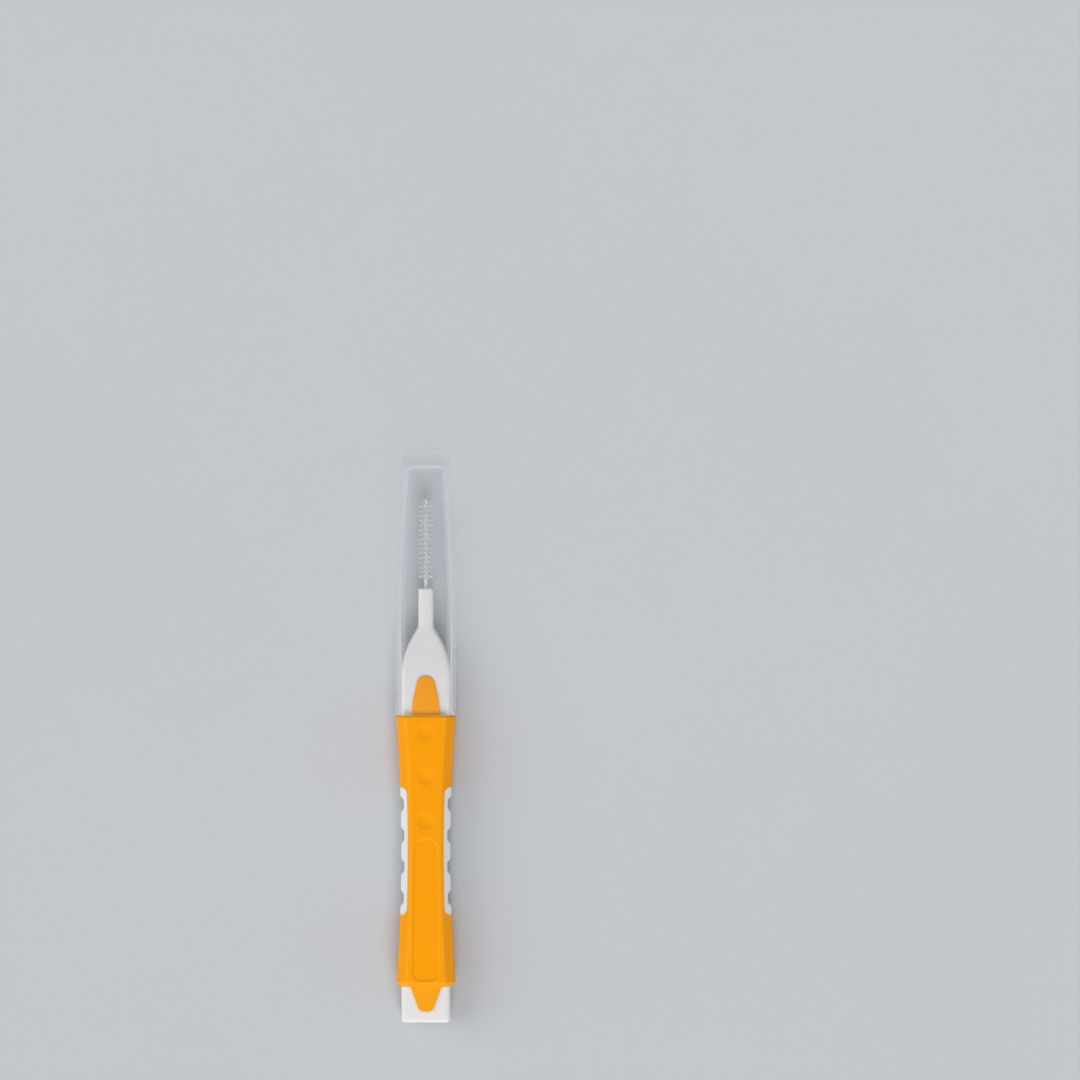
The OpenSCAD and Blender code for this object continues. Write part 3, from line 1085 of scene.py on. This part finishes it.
    def panel(self, x: np.ndarray, y: np.ndarray) -> np.ndarray:
        """Gives the depth of the shallow finger panel on a broad face.

        Args:
            x: Places across the face.
            y: Places along it.

        Returns:
            The depth at each place.
        """
        rear = self.places.rear_y + self.panel_inset
        share = np.clip((y - rear) / self.panel_l, 0.0, 1.0)
        half = (self.panel_rear_w + (self.panel_front_w - self.panel_rear_w) * share) / 2
        middle = rear + self.panel_l / 2
        corner = np.where(y > middle, self.panel_front_w * self.panel_arch_share, self.panel_round)
        out = rounded_box_distance(x, y - middle, half, self.panel_l / 2, corner)
        return self.panel_depth * smooth_step(0.5 - out / self.panel_wall)

    def notches(self, y: np.ndarray) -> np.ndarray:
        """Gives the depth of the notches across the ribbed sides.

        Args:
            y: Places along the brush.

        Returns:
            The depth at each place.
        """
        deep = np.zeros_like(y)
        for index in range(self.notch_count):
            centre = self.places.waist_y + (index - (self.notch_count - 1) / 2) * self.notch_pitch
            wall = self.notch_w / 2 - np.abs(y - centre)
            floor = soft_rise(wall - self.notch_depth, self.notch_ease)
            cut = soft_rise(wall, self.notch_ease) - floor
            deep = np.maximum(deep, np.where(wall > -self.notch_reach, cut, 0.0))
        return deep

    def window(self, points: np.ndarray) -> np.ndarray:
        """Measures how far points lie outside the windows of the ribbed sides.

        Args:
            points: Points on the form.

        Returns:
            The distances, below zero inside a window and far on the broad faces.
        """
        out = rounded_box_distance(
            points[:, 2],
            points[:, 1] - self.places.waist_y,
            np.full(len(points), self.pad_t / 2),
            self.pad_l / 2,
            self.pad_round,
        )
        on_side = np.abs(points[:, 0]) > self.pad_root_x - self.pad_margin
        return np.where(on_side, out, self.far)

    def moulded(self, points: np.ndarray) -> np.ndarray:
        """Presses dimples, panels and notches into the plain form.

        Args:
            points: The points of the plain form.

        Returns:
            The pressed points.
        """
        pressed = points.copy()
        x, y, z = points.T
        on_face = np.abs(z) > self.thickness / 2 - self.face_margin
        deep = np.maximum(self.dimples(x, y), self.panel(x, y))
        pressed[:, 2] -= np.where(on_face, np.sign(z) * deep, 0.0)
        notch = self.notches(y)
        reach = self.side(y) - notch
        pressed[:, 0] = np.where(notch > self.least_notch, np.clip(x, -reach, reach), x)
        return pressed

    def form(self) -> bmesh.types.BMesh:
        """Builds the whole form, with its windows marked out by cut edges.

        Returns:
            The mesh, with each corner's distance to a window in the layer "window".
        """
        rows = self.rows()
        rings = [self.ring(float(y), float(inset)) for y, inset in zip(rows, self.inset(rows))]
        skin = Skin.of(rings)
        skin.points = [self.moulded(np.concatenate(rings))]
        form = skin.sculpt()
        layer = form.verts.layers.float.new("window")
        away = self.window(skin.points[0])
        for vert, distance in zip(form.verts, away.tolist()):
            vert[layer] = distance
        crossed = [e for e in form.edges if e.verts[0][layer] * e.verts[1][layer] < 0]
        cut: list[bmesh.types.BMVert] = []
        for edge in crossed:
            first, second = edge.verts
            share = first[layer] / (first[layer] - second[layer])
            made = bmesh.utils.edge_split(edge, first, share)[1]
            made[layer] = 0.0
            cut.append(made)
        bmesh.ops.connect_verts(form, verts=cut)
        self.press_seam(form)
        return form

    def press_seam(self, form: bmesh.types.BMesh) -> None:
        """Presses the fine groove where white and orange meet.

        Args:
            form: The mesh, with its windows marked out.
        """
        layer = form.verts.layers.float["window"]
        form.normal_update()
        for vert in form.verts:
            share = 1 - abs(vert[layer]) / self.seam_reach
            if share > 0:
                vert.co -= vert.normal * self.seam_depth * share**2

    def part(self, form: bmesh.types.BMesh, inside: bool) -> bmesh.types.BMesh:
        """Takes one material's share of the form and closes it behind the windows.

        Args:
            form: The whole form.
            inside: Whether to take what lies in the windows.

        Returns:
            The share as its own closed mesh.
        """
        share = form.copy()
        layer = share.verts.layers.float["window"]
        other = [f for f in share.faces if (sum(v[layer] for v in f.verts) < 0) != inside]
        bmesh.ops.delete(share, geom=other, context="FACES")
        rims = [edge for edge in share.edges if edge.is_boundary]
        made = bmesh.ops.extrude_edge_only(share, edges=rims)["geom"]
        for vert in (v for v in made if isinstance(v, bmesh.types.BMVert)):
            vert.co.x = math.copysign(self.pad_root_x, vert.co.x)
        roots = [e for e in made if isinstance(e, bmesh.types.BMEdge) and e.is_boundary]
        bmesh.ops.edgeloop_fill(share, edges=roots)
        return share


@dataclass
class Tongues:
    """The orange tongues that lie on the shoulders and on the stub."""

    places: Places
    face_z: float = 1.875
    rise: float = 0.3
    edge: float = 0.13
    edge_steps: int = 6
    sink: float = 0.2
    root_overlap: float = 1.25
    front_l: float = 5.9
    front_w: float = 4.3
    front_bend_l_share: float = 0.38
    front_bend_w_share: float = 0.9
    front_tip_share: float = 0.5
    front_round_share: float = 0.29
    rear_l: float = 3.75
    rear_w: float = 4.65
    rear_tip_share: float = 0.42
    rear_round_share: float = 0.21

    def front(self) -> np.ndarray:
        """Gives the outline of the front tongue, which bends in on its way to the tip.

        Returns:
            The outline, as across and along.
        """
        root, start = self.front_w / 2, self.places.front_y
        bend = (root * self.front_bend_w_share, start + self.front_l * self.front_bend_l_share)
        tip = (root * self.front_tip_share, start + self.front_l)
        return both_sides(
            [
                (root, start - self.root_overlap, 0.0),
                (*bend, self.front_w),
                (*tip, self.front_round_share * self.front_w),
            ]
        )

    def rear(self) -> np.ndarray:
        """Gives the outline of the rear tongue, which is straight along the sleeve's end.

        Returns:
            The outline, as across and along.
        """
        root, start = self.rear_w / 2, self.places.rear_y
        tip = (root * self.rear_tip_share, start - self.rear_l)
        return both_sides(
            [
                (root, start + self.root_overlap, 0.0),
                (root, start, 0.0),
                (*tip, self.rear_round_share * self.rear_w),
            ]
        )

    def add_to(self, skin: Skin) -> None:
        """Adds the four tongues to the sleeve's skin.

        Args:
            skin: The sleeve's skin.
        """
        low, top = self.face_z - self.sink, self.face_z + self.rise - self.edge
        levels = [(low, 0.0)]
        for angle in np.linspace(0.0, math.pi / 2, self.edge_steps + 1):
            height = top + self.edge * math.sin(angle)
            levels.append((height, self.edge * (1 - math.cos(angle))))
        for outline in (self.front(), self.rear()):
            flats = [(drawn_in(outline, drawn), height) for height, drawn in levels]
            for up in (1, -1):
                skin.loft([np.insert(flat, 2, up * height, axis=1) for flat, height in flats])


@dataclass
class Stem:
    """The white stem: stub, spine, shoulders and neck, all one moulding."""

    places: Places
    neck_w: float = 2.3
    neck_t: float = 1.95
    neck_round: float = 0.7
    neck_tip_round: float = 0.2
    shoulder_w: float = 7.35
    shoulder_t: float = 3.75
    shoulder_round: float = 0.7
    stub_end_round: float = 0.55
    spine_w: float = 5.0
    spine_t: float = 3.2
    spine_round: float = 0.5
    root_l: float = 2.5
    end_steps: int = 8
    stub_reach: float = 4.0
    stub_rings: int = 12
    shoulder_gap: float = 0.1
    shoulder_rings: int = 16
    taper_rings: int = 64
    taper_reach: float = 1.12
    side_power: float = 2.0
    side_ease: float = 0.14
    face_power: float = 1.3
    face_ease: float = 0.08

    def taper(self) -> list[Ring]:
        """Makes the rings of the shoulders where they draw in to the neck.

        Returns:
            The rings, from the shoulders on.
        """
        rings: list[Ring] = []
        wide, thick = self.shoulder_w / 2, self.shoulder_t / 2
        slim, thin = self.neck_w / 2, self.neck_t / 2
        for u in np.linspace(0.0, self.taper_reach, self.taper_rings):
            side = soft_rise((wide - slim) * (1 - u**self.side_power), self.side_ease)
            face = soft_rise((thick - thin) * (1 - u**self.face_power), self.face_ease)
            edge = self.shoulder_round + (self.neck_round - self.shoulder_round) * u
            place = self.places.taper_y + u * self.places.taper_l
            section = (min(slim + side, wide), min(thin + face, thick), edge)
            rings.append(moulded_ring(place, section))
        return rings

    def rings(self) -> list[Ring]:
        """Makes the rings of the whole stem, from its foot to the tip of the neck.

        Returns:
            The rings.
        """
        full = (self.shoulder_w / 2, self.shoulder_t / 2, self.shoulder_round)
        spine = (self.spine_w / 2, self.spine_t / 2, self.spine_round)
        slim = (self.neck_w / 2, self.neck_t / 2, self.neck_round)
        spots = self.places
        rear, front = spots.rear_y + self.root_l, spots.front_y - self.root_l
        stub = np.linspace(spots.rear_y - self.stub_reach, rear, self.stub_rings)
        shoulder = np.linspace(front, spots.taper_y - self.shoulder_gap, self.shoulder_rings)
        steps = self.end_steps
        foot = rounded_end(spots.foot_y, 1, self.stub_end_round, steps, lambda _: full)
        tip = rounded_end(spots.neck_tip_y, -1, self.neck_tip_round, steps, lambda _: slim)
        return [
            *foot,
            *(moulded_ring(y, full) for y in stub),
            moulded_ring(rear, spine),
            moulded_ring(front, spine),
            *(moulded_ring(y, full) for y in shoulder),
            *self.taper(),
            *reversed(tip),
        ]


@dataclass
class Twist:
    """How the folded wire and the bristles between its legs turn along the brush."""

    places: Places
    wire_d: float = 0.23
    pitch: float = 1.4
    bristle_t: float = 0.05
    room: float = 0.01

    @property
    def leg_r(self) -> float:
        """Half the wire's thickness."""
        return self.wire_d / 2

    @property
    def radius(self) -> float:
        """How far each leg's middle lies from the axis."""
        return self.leg_r + self.bristle_t / 2 + self.room

    @property
    def top_y(self) -> float:
        """Where the two legs meet in the fold."""
        return self.places.wire_tip_y - self.leg_r - self.radius

    def angle(self, y: np.ndarray) -> np.ndarray:
        """Gives the turn of the twist.

        Args:
            y: Places along the brush.

        Returns:
            The angles, in radians.
        """
        ease = self.pitch / 4
        start = self.top_y - ease
        share = np.maximum(0.0, y - start) / ease
        along = np.minimum(y, start) - self.places.neck_tip_y + ease * (share - share**2 / 2)
        return 2 * math.pi / self.pitch * along


@dataclass
class Wire:
    """One wire, folded at the tip, with its two legs twisted round each other."""

    twist: Twist
    hold: float = 8.0
    sides: int = 12
    rings_per_turn: int = 22
    fold_rings: int = 12

    def path(self) -> np.ndarray:
        """Gives the points that the middle of the wire follows, up one leg and down the other.

        Returns:
            The points, in order.
        """
        twist = self.twist
        bottom = twist.places.neck_tip_y - self.hold
        count = int((twist.top_y - bottom) / twist.pitch * self.rings_per_turn)
        y = np.linspace(bottom, twist.top_y, count)
        turn = twist.angle(y)
        leg = np.column_stack((np.cos(turn) * twist.radius, y, np.sin(turn) * twist.radius))
        last = turn[-1]
        fold = [
            (
                twist.radius * math.cos(last) * math.cos(a),
                twist.top_y + twist.radius * math.sin(a),
                twist.radius * math.sin(last) * math.cos(a),
            )
            for a in np.linspace(0, math.pi, self.fold_rings + 1)[1:-1]
        ]
        return np.concatenate((leg, np.array(fold), (leg * (-1, 1, -1))[::-1]))

    def rings(self) -> list[Ring]:
        """Makes the rings along the whole wire.

        Returns:
            The rings.
        """
        path = self.path()
        along = np.gradient(path, axis=0)
        along /= np.linalg.norm(along, axis=1)[:, None]
        outward = path * (1, 0, 1)
        tip = path[:, 1] > self.twist.top_y
        outward[tip] = path[tip] - (0, self.twist.top_y, 0)
        outward -= np.einsum("ij,ij->i", outward, along)[:, None] * along
        outward /= np.linalg.norm(outward, axis=1)[:, None]
        beside = np.cross(along, outward)
        return [
            round_ring(middle, self.twist.leg_r, out, side, self.sides)
            for middle, out, side in zip(path, outward, beside)
        ]


@dataclass
class Bristles:
    """Fine filaments pinched between the legs of the wire, fanned out by its twist."""

    twist: Twist
    across: float = 2.2
    length: float = 11.8
    end_gap: float = 0.4
    count: int = 430
    filament_r: float = 0.02
    tip_r_share: float = 0.6
    stops: tuple[float, ...] = (1.0, 0.97, 0.7, 0.4, 0.14)
    sides: int = 5
    seed: int = 20417
    fan: float = 0.13
    lean: float = 0.07
    droop: float = 0.05
    uneven: float = 0.035
    wander: float = 0.012
    shift: float = 0.02
    tip_share: float = 0.08
    tip_reach: float = 0.7

    def build(self, skin: Skin) -> None:
        """Adds every filament to a skin.

        Args:
            skin: The skin to add to.
        """
        random = np.random.default_rng(self.seed)
        top = self.twist.places.wire_tip_y - self.end_gap
        shares = (np.arange(self.count) + 0.5) / self.count
        for share in shares:
            y = top - self.length + self.length * share + random.normal(0, self.wander)
            turn = float(self.twist.angle(np.array(y))) + math.pi / 2 + random.normal(0, self.fan)
            drawn = max(0.0, (share - 1 + self.tip_share) / self.tip_share)
            reach = self.across / 2 * (1 + (self.tip_reach - 1) * drawn * drawn)
            self.filament(skin, random, y, turn, reach)

    def filament(
        self, skin: Skin, random: np.random.Generator, y: float, turn: float, reach: float
    ) -> None:
        """Adds one filament that passes through the wire and sticks out both ways.

        Args:
            skin: The skin to add to.
            random: The seeded source of unevenness.
            y: Place along the brush.
            turn: Angle round the wire, in radians.
            reach: How far each end stands out at most.
        """
        out = np.array((math.cos(turn), 0.0, math.sin(turn)))
        beside = np.array((-math.sin(turn), 0.0, math.cos(turn)))
        along = np.array((0.0, 1.0, 0.0))
        ends = reach * (1 - np.abs(random.normal(0, self.uneven, 2)))
        leans = random.normal(0, self.lean, 2)
        droops = random.normal(0, self.droop, (2, 2))
        shift = random.normal(0, self.shift)
        places = [(share, 0) for share in self.stops] + [(share, 1) for share in self.stops[::-1]]
        rings: list[Ring] = []
        for share, end in places:
            sign = 1 if end == 0 else -1
            away = share * ends[end]
            middle = out * (sign * math.sqrt(max(away**2 - (share * shift) ** 2, 0.0)))
            middle = middle + along * (y + leans[end] * away + droops[end, 0] * share**2)
            middle = middle + beside * (droops[end, 1] * share**2 + shift * share)
            radial = math.hypot(middle[0], middle[2])
            if radial > ends[end]:
                middle = middle * np.array((ends[end] / radial, 1, ends[end] / radial))
            radius = self.filament_r * (self.tip_r_share if share == 1.0 else 1.0)
            rings.append(round_ring(middle, radius, along, beside, self.sides))
        skin.loft(rings)


@dataclass
class Shell:
    """The outside or the cavity of the cap, which is straight and then draws in."""

    mouth: Section
    tip: Section
    start_y: float
    draw_y: float
    end_y: float
    end_round: float
    ease: float = 0.02
    ease_l: float = 1.0
    rings_along: int = 46
    end_steps: int = 12

    def section(self, y: float) -> Section:
        """Gives the section at a place along the brush.

        Args:
            y: The place.

        Returns:
            The section.
        """
        share = float(soft_rise((y - self.draw_y) / (self.end_y - self.draw_y), self.ease))
        share = 0.0 if y < self.draw_y - self.ease_l else min(share, 1.0)
        return tuple(big + (small - big) * share for big, small in zip(self.mouth, self.tip))

    def rings(self) -> list[Ring]:
        """Makes the rings from near the mouth to the closed end.

        Returns:
            The rings.
        """
        spots = np.linspace(self.start_y, self.end_y - self.end_round, self.rings_along).tolist()
        end = rounded_end(self.end_y, -1, self.end_round, self.end_steps, self.section)
        return [*(moulded_ring(y, self.section(y)) for y in spots), *reversed(end[:-1])]


@dataclass
class Cap:
    """The clear travel cap, one closed skin with its cavity."""

    places: Places
    seat_gap: float = 0.05
    length: float = 38.95
    straight_l: float = 18.7
    width: float = 9.0
    thickness: float = 6.0
    edge: float = 1.6
    tip_w: float = 7.1
    tip_t: float = 4.75
    end_round: float = 0.8
    end_wall: float = 1.4
    core_w: float = 7.49
    core_t: float = 4.49
    core_edge: float = 0.845
    core_end_round: float = 1.2
    lead_in: float = 0.2
    lead_in_l: float = 0.75
    lead_in_shares: tuple[float, ...] = (0.25, 0.6, 0.9)
    cavity_share: float = 1.05
    rim_round: float = 0.12
    rim_l: float = 0.3
    rim_steps: int = 6
    rim_core_steps: int = 5

    def rim(self, mouth: float, full: Section, core: Section) -> list[Ring]:
        """Makes the rings round the rim and down the lead-in.

        Args:
            mouth: Where the rim stands.
            full: The section of the outside.
            core: The section of the cavity.

        Returns:
            The rings, from outside to inside.
        """
        r, quarter = self.rim_round, math.pi / 2
        rings: list[Ring] = []
        for angle in np.linspace(0.0, quarter, self.rim_steps + 1):
            y = mouth + r - r * math.sin(angle)
            rings.append(moulded_ring(y, grown(full, r * (math.cos(angle) - 1))))
        for angle in np.linspace(0.0, quarter, self.rim_core_steps + 1):
            y = mouth + r - r * math.cos(angle)
            rings.append(moulded_ring(y, grown(core, self.lead_in + r * (1 - math.sin(angle)))))
        for share in self.lead_in_shares:
            y = mouth + r + (self.lead_in_l - r) * share
            rings.append(moulded_ring(y, grown(core, self.lead_in * (1 - share))))
        return rings

    def rings(self) -> list[Ring]:
        """Makes the rings of the whole cap, from its closed end over the rim into the cavity.

        Returns:
            The rings.
        """
        mouth = self.places.front_y + self.seat_gap
        draw, end = mouth + self.straight_l, mouth + self.length
        slim = self.tip_t / self.thickness
        full = (self.width / 2, self.thickness / 2, self.edge)
        core = (self.core_w / 2, self.core_t / 2, self.core_edge)
        tip = (self.tip_w / 2, self.tip_t / 2, self.edge * slim)
        core_tip = (tip[0] - full[0] + core[0], tip[1] - full[1] + core[1], self.core_edge * slim)
        outside = Shell(full, tip, mouth + self.rim_l, draw, end, self.end_round)
        start = mouth + self.lead_in_l * self.cavity_share
        cavity = Shell(core, core_tip, start, draw, end - self.end_wall, self.core_end_round)
        return [*reversed(outside.rings()), *self.rim(mouth, full, core), *cavity.rings()]


# The two assemblies


@dataclass
class Brush:
    """Everything that moves with the handle."""

    places: Places
    effects: Effects
    sharp: float = 45.0

    def build(self) -> list[bpy.types.Object]:
        """Builds and dresses the brush's pieces."""
        twist = Twist(self.places)
        return [*self.handle(), self.wire(twist), self.bristles(twist)]

    def handle(self) -> list[bpy.types.Object]:
        """Builds the sleeve, the stem and the ribbed side grips.

        Returns:
            The three pieces.
        """
        grip = Grip(self.places)
        form = grip.form()
        sleeve, sides, stem = Skin(), Skin(), Skin.of(Stem(self.places).rings())
        sleeve.take(grip.part(form, inside=False))
        Tongues(self.places).add_to(sleeve)
        sides.take(grip.part(form, inside=True))
        form.free()
        orange, white = (look.material(self.effects) for look in (SoftElastomer(), StemPolymer()))
        pieces = (
            (sleeve.piece("orange_sleeve", self.sharp), orange, Slot.SLEEVE, "grip_sleeve"),
            (stem.piece("white_stem"), white, Slot.STEM, "stem"),
            (sides.piece("ribbed_sides", self.sharp), white, Slot.STEM, "stem"),
        )
        return [seat(piece, look, Body.BRUSH, slot, node) for piece, look, slot, node in pieces]

    def wire(self, twist: Twist) -> bpy.types.Object:
        """Builds the twisted wire.

        Args:
            twist: How the wire turns.

        Returns:
            The piece.
        """
        piece = Skin.of(Wire(twist).rings()).piece("folded_wire")
        look = CoatedWire().material(self.effects)
        return seat(piece, look, Body.BRUSH, Slot.WIRE, "twisted_wire")

    def bristles(self, twist: Twist) -> bpy.types.Object:
        """Builds the bristles.

        Args:
            twist: How the bristles turn.

        Returns:
            The piece.
        """
        skin = Skin()
        Bristles(twist).build(skin)
        look = NylonFilament().material(self.effects)
        return seat(skin.piece("nylon_filaments"), look, Body.BRUSH, Slot.BRISTLES, "bristles")


@dataclass
class TravelCap:
    """The cap, which slides off over the bristles."""

    places: Places
    effects: Effects

    def build(self) -> list[bpy.types.Object]:
        """Builds and dresses the cap.

        Returns:
            The finished piece, in a list.
        """
        piece = Skin.of(Cap(self.places).rings()).piece("clear_cap")
        piece.visible_diffuse = False
        look = MilkyPolymer().material(self.effects)
        return [seat(piece, look, Body.CAP, Slot.CAP, "cap")]


# The studio


@dataclass(frozen=True)
class Lamp:
    """A soft far lamp, with the direction in which it stands and its width in degrees."""

    name: str
    towards: tuple[float, float, float]
    strength: float
    spread: float

    def build(self) -> None:
        """Adds the lamp, which neither mirrors nor clear walls show."""
        light = bpy.data.lights.new(self.name, "SUN")
        light.energy = self.strength
        light.angle = math.radians(self.spread)
        lamp = linked(self.name, light)
        lamp.rotation_euler = Vector(self.towards).to_track_quat("Z", "Y").to_euler()
        lamp.visible_transmission = False
        lamp.visible_glossy = False


@dataclass
class Studio:
    """A plain pale floor, soft light and the camera straight above."""

    effects: Effects
    view_side: float = 0.162
    aim_x: float = 0.0171
    aim_y: float = 0.029775
    lens: float = 200.0
    sensor: float = 36.0
    clip_start: float = 0.01
    clip_end: float = 20.0
    floor_r: float = 3.0
    floor_drop: float = 0.00003
    floor_shares: tuple[float, ...] = (0.03, 0.08, 0.2, 0.5, 1.0)
    floor_sides: int = 64
    background: Colour = (0.555, 0.58, 0.607)
    room: Colour = (1.0, 0.995, 0.99)
    room_light: float = 0.41
    mirrored: Colour = (0.97, 0.98, 1.0)
    side_light: float = 0.9
    overhead_light: float = 0.12
    overhead_span: Span = (0.55, 0.92)
    lamps: tuple[Lamp, ...] = (
        Lamp("key", (0.1, -0.8, 0.85), 1.85, 35.0),
        Lamp("fill", (-0.9, 0.1, 0.7), 0.95, 50.0),
    )

    def build(self) -> None:
        """Builds floor, lights, background and camera."""
        self.floor()
        for lamp in self.lamps:
            lamp.build()
        self.world()
        self.camera()
        bpy.context.scene.view_settings.view_transform = "Standard"

    def floor(self) -> None:
        """Builds the floor as a wide disc with rings that widen outwards."""
        skin = bmesh.new()
        middle = skin.verts.new((0, 0, -self.floor_drop))
        angles = np.linspace(0, 2 * math.pi, self.floor_sides, endpoint=False)
        rings = [
            [skin.verts.new((r * math.cos(a), r * math.sin(a), -self.floor_drop)) for a in angles]
            for r in (self.floor_r * share for share in self.floor_shares)
        ]
        for place in range(self.floor_sides):
            after = (place + 1) % self.floor_sides
            skin.faces.new((middle, rings[0][place], rings[0][after]))
            for inner, outer in zip(rings, rings[1:]):
                skin.faces.new((inner[place], outer[place], outer[after], inner[after]))
        mesh = bpy.data.meshes.new("pale_floor")
        skin.to_mesh(mesh)
        skin.free()
        floor = linked("pale_floor", mesh)
        mesh.materials.append(PaleFloor().material(self.effects))

    def world(self) -> None:
        """Sets the light of the room, and the background that the camera and clear pieces see."""
        world = bpy.data.worlds.new("pale_room")
        bpy.context.scene.world = world
        world.use_nodes = True
        world.node_tree.nodes.clear()
        bench = Bench(world.node_tree)
        rays = bench.node("ShaderNodeLightPath")
        direction = {0: bench.node("ShaderNodeTexCoord")["Generated"]}
        height = bench.node("ShaderNodeSeparateXYZ", direction)["Z"]
        lights = (self.side_light, self.overhead_light)
        strength = bench.ranged(height, self.overhead_span, lights, interpolation_type="SMOOTHSTEP")
        clean = bench.sum("LESS_THAN", rays["Diffuse Depth"], UNDER_ONE)
        either = bench.sum("MAXIMUM", rays["Is Glossy Ray"], rays["Is Transmission Ray"])
        mirrored = bench.sum("MULTIPLY", either, clean)
        shown = bench.glow(self.room, self.room_light)
        shown = bench.merged(mirrored, shown, bench.glow(self.mirrored, strength))
        shown = bench.merged(rays["Is Camera Ray"], shown, bench.glow(self.background, 1.0))
        bench.node("ShaderNodeOutputWorld", {"Surface": shown})

    def camera(self) -> None:
        """Places the camera straight above, with the tip of the brush up in the picture."""
        data = bpy.data.cameras.new("above")
        data.lens = self.lens
        data.sensor_width = self.sensor
        data.clip_start = self.clip_start
        data.clip_end = self.clip_end
        camera = linked("above", data)
        height = self.view_side * self.lens / self.sensor
        camera.location = (self.aim_x, self.aim_y, MID_HEIGHT * MM + height)
        bpy.context.scene.camera = camera


def main() -> None:
    """Builds the studio and the two assemblies, and reports each piece."""
    logging.basicConfig(level=logging.INFO, format="%(name)s: %(message)s")
    places = Places()
    effects = Effects()
    Studio(effects).build()
    pieces: list[bpy.types.Object] = []
    for part in (Brush(places, effects), TravelCap(places, effects)):
        pieces += part.build()
    log.info("%d pieces stand for %d packed nodes", len(pieces), len(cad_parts))


if __name__ == "__main__":
    main()
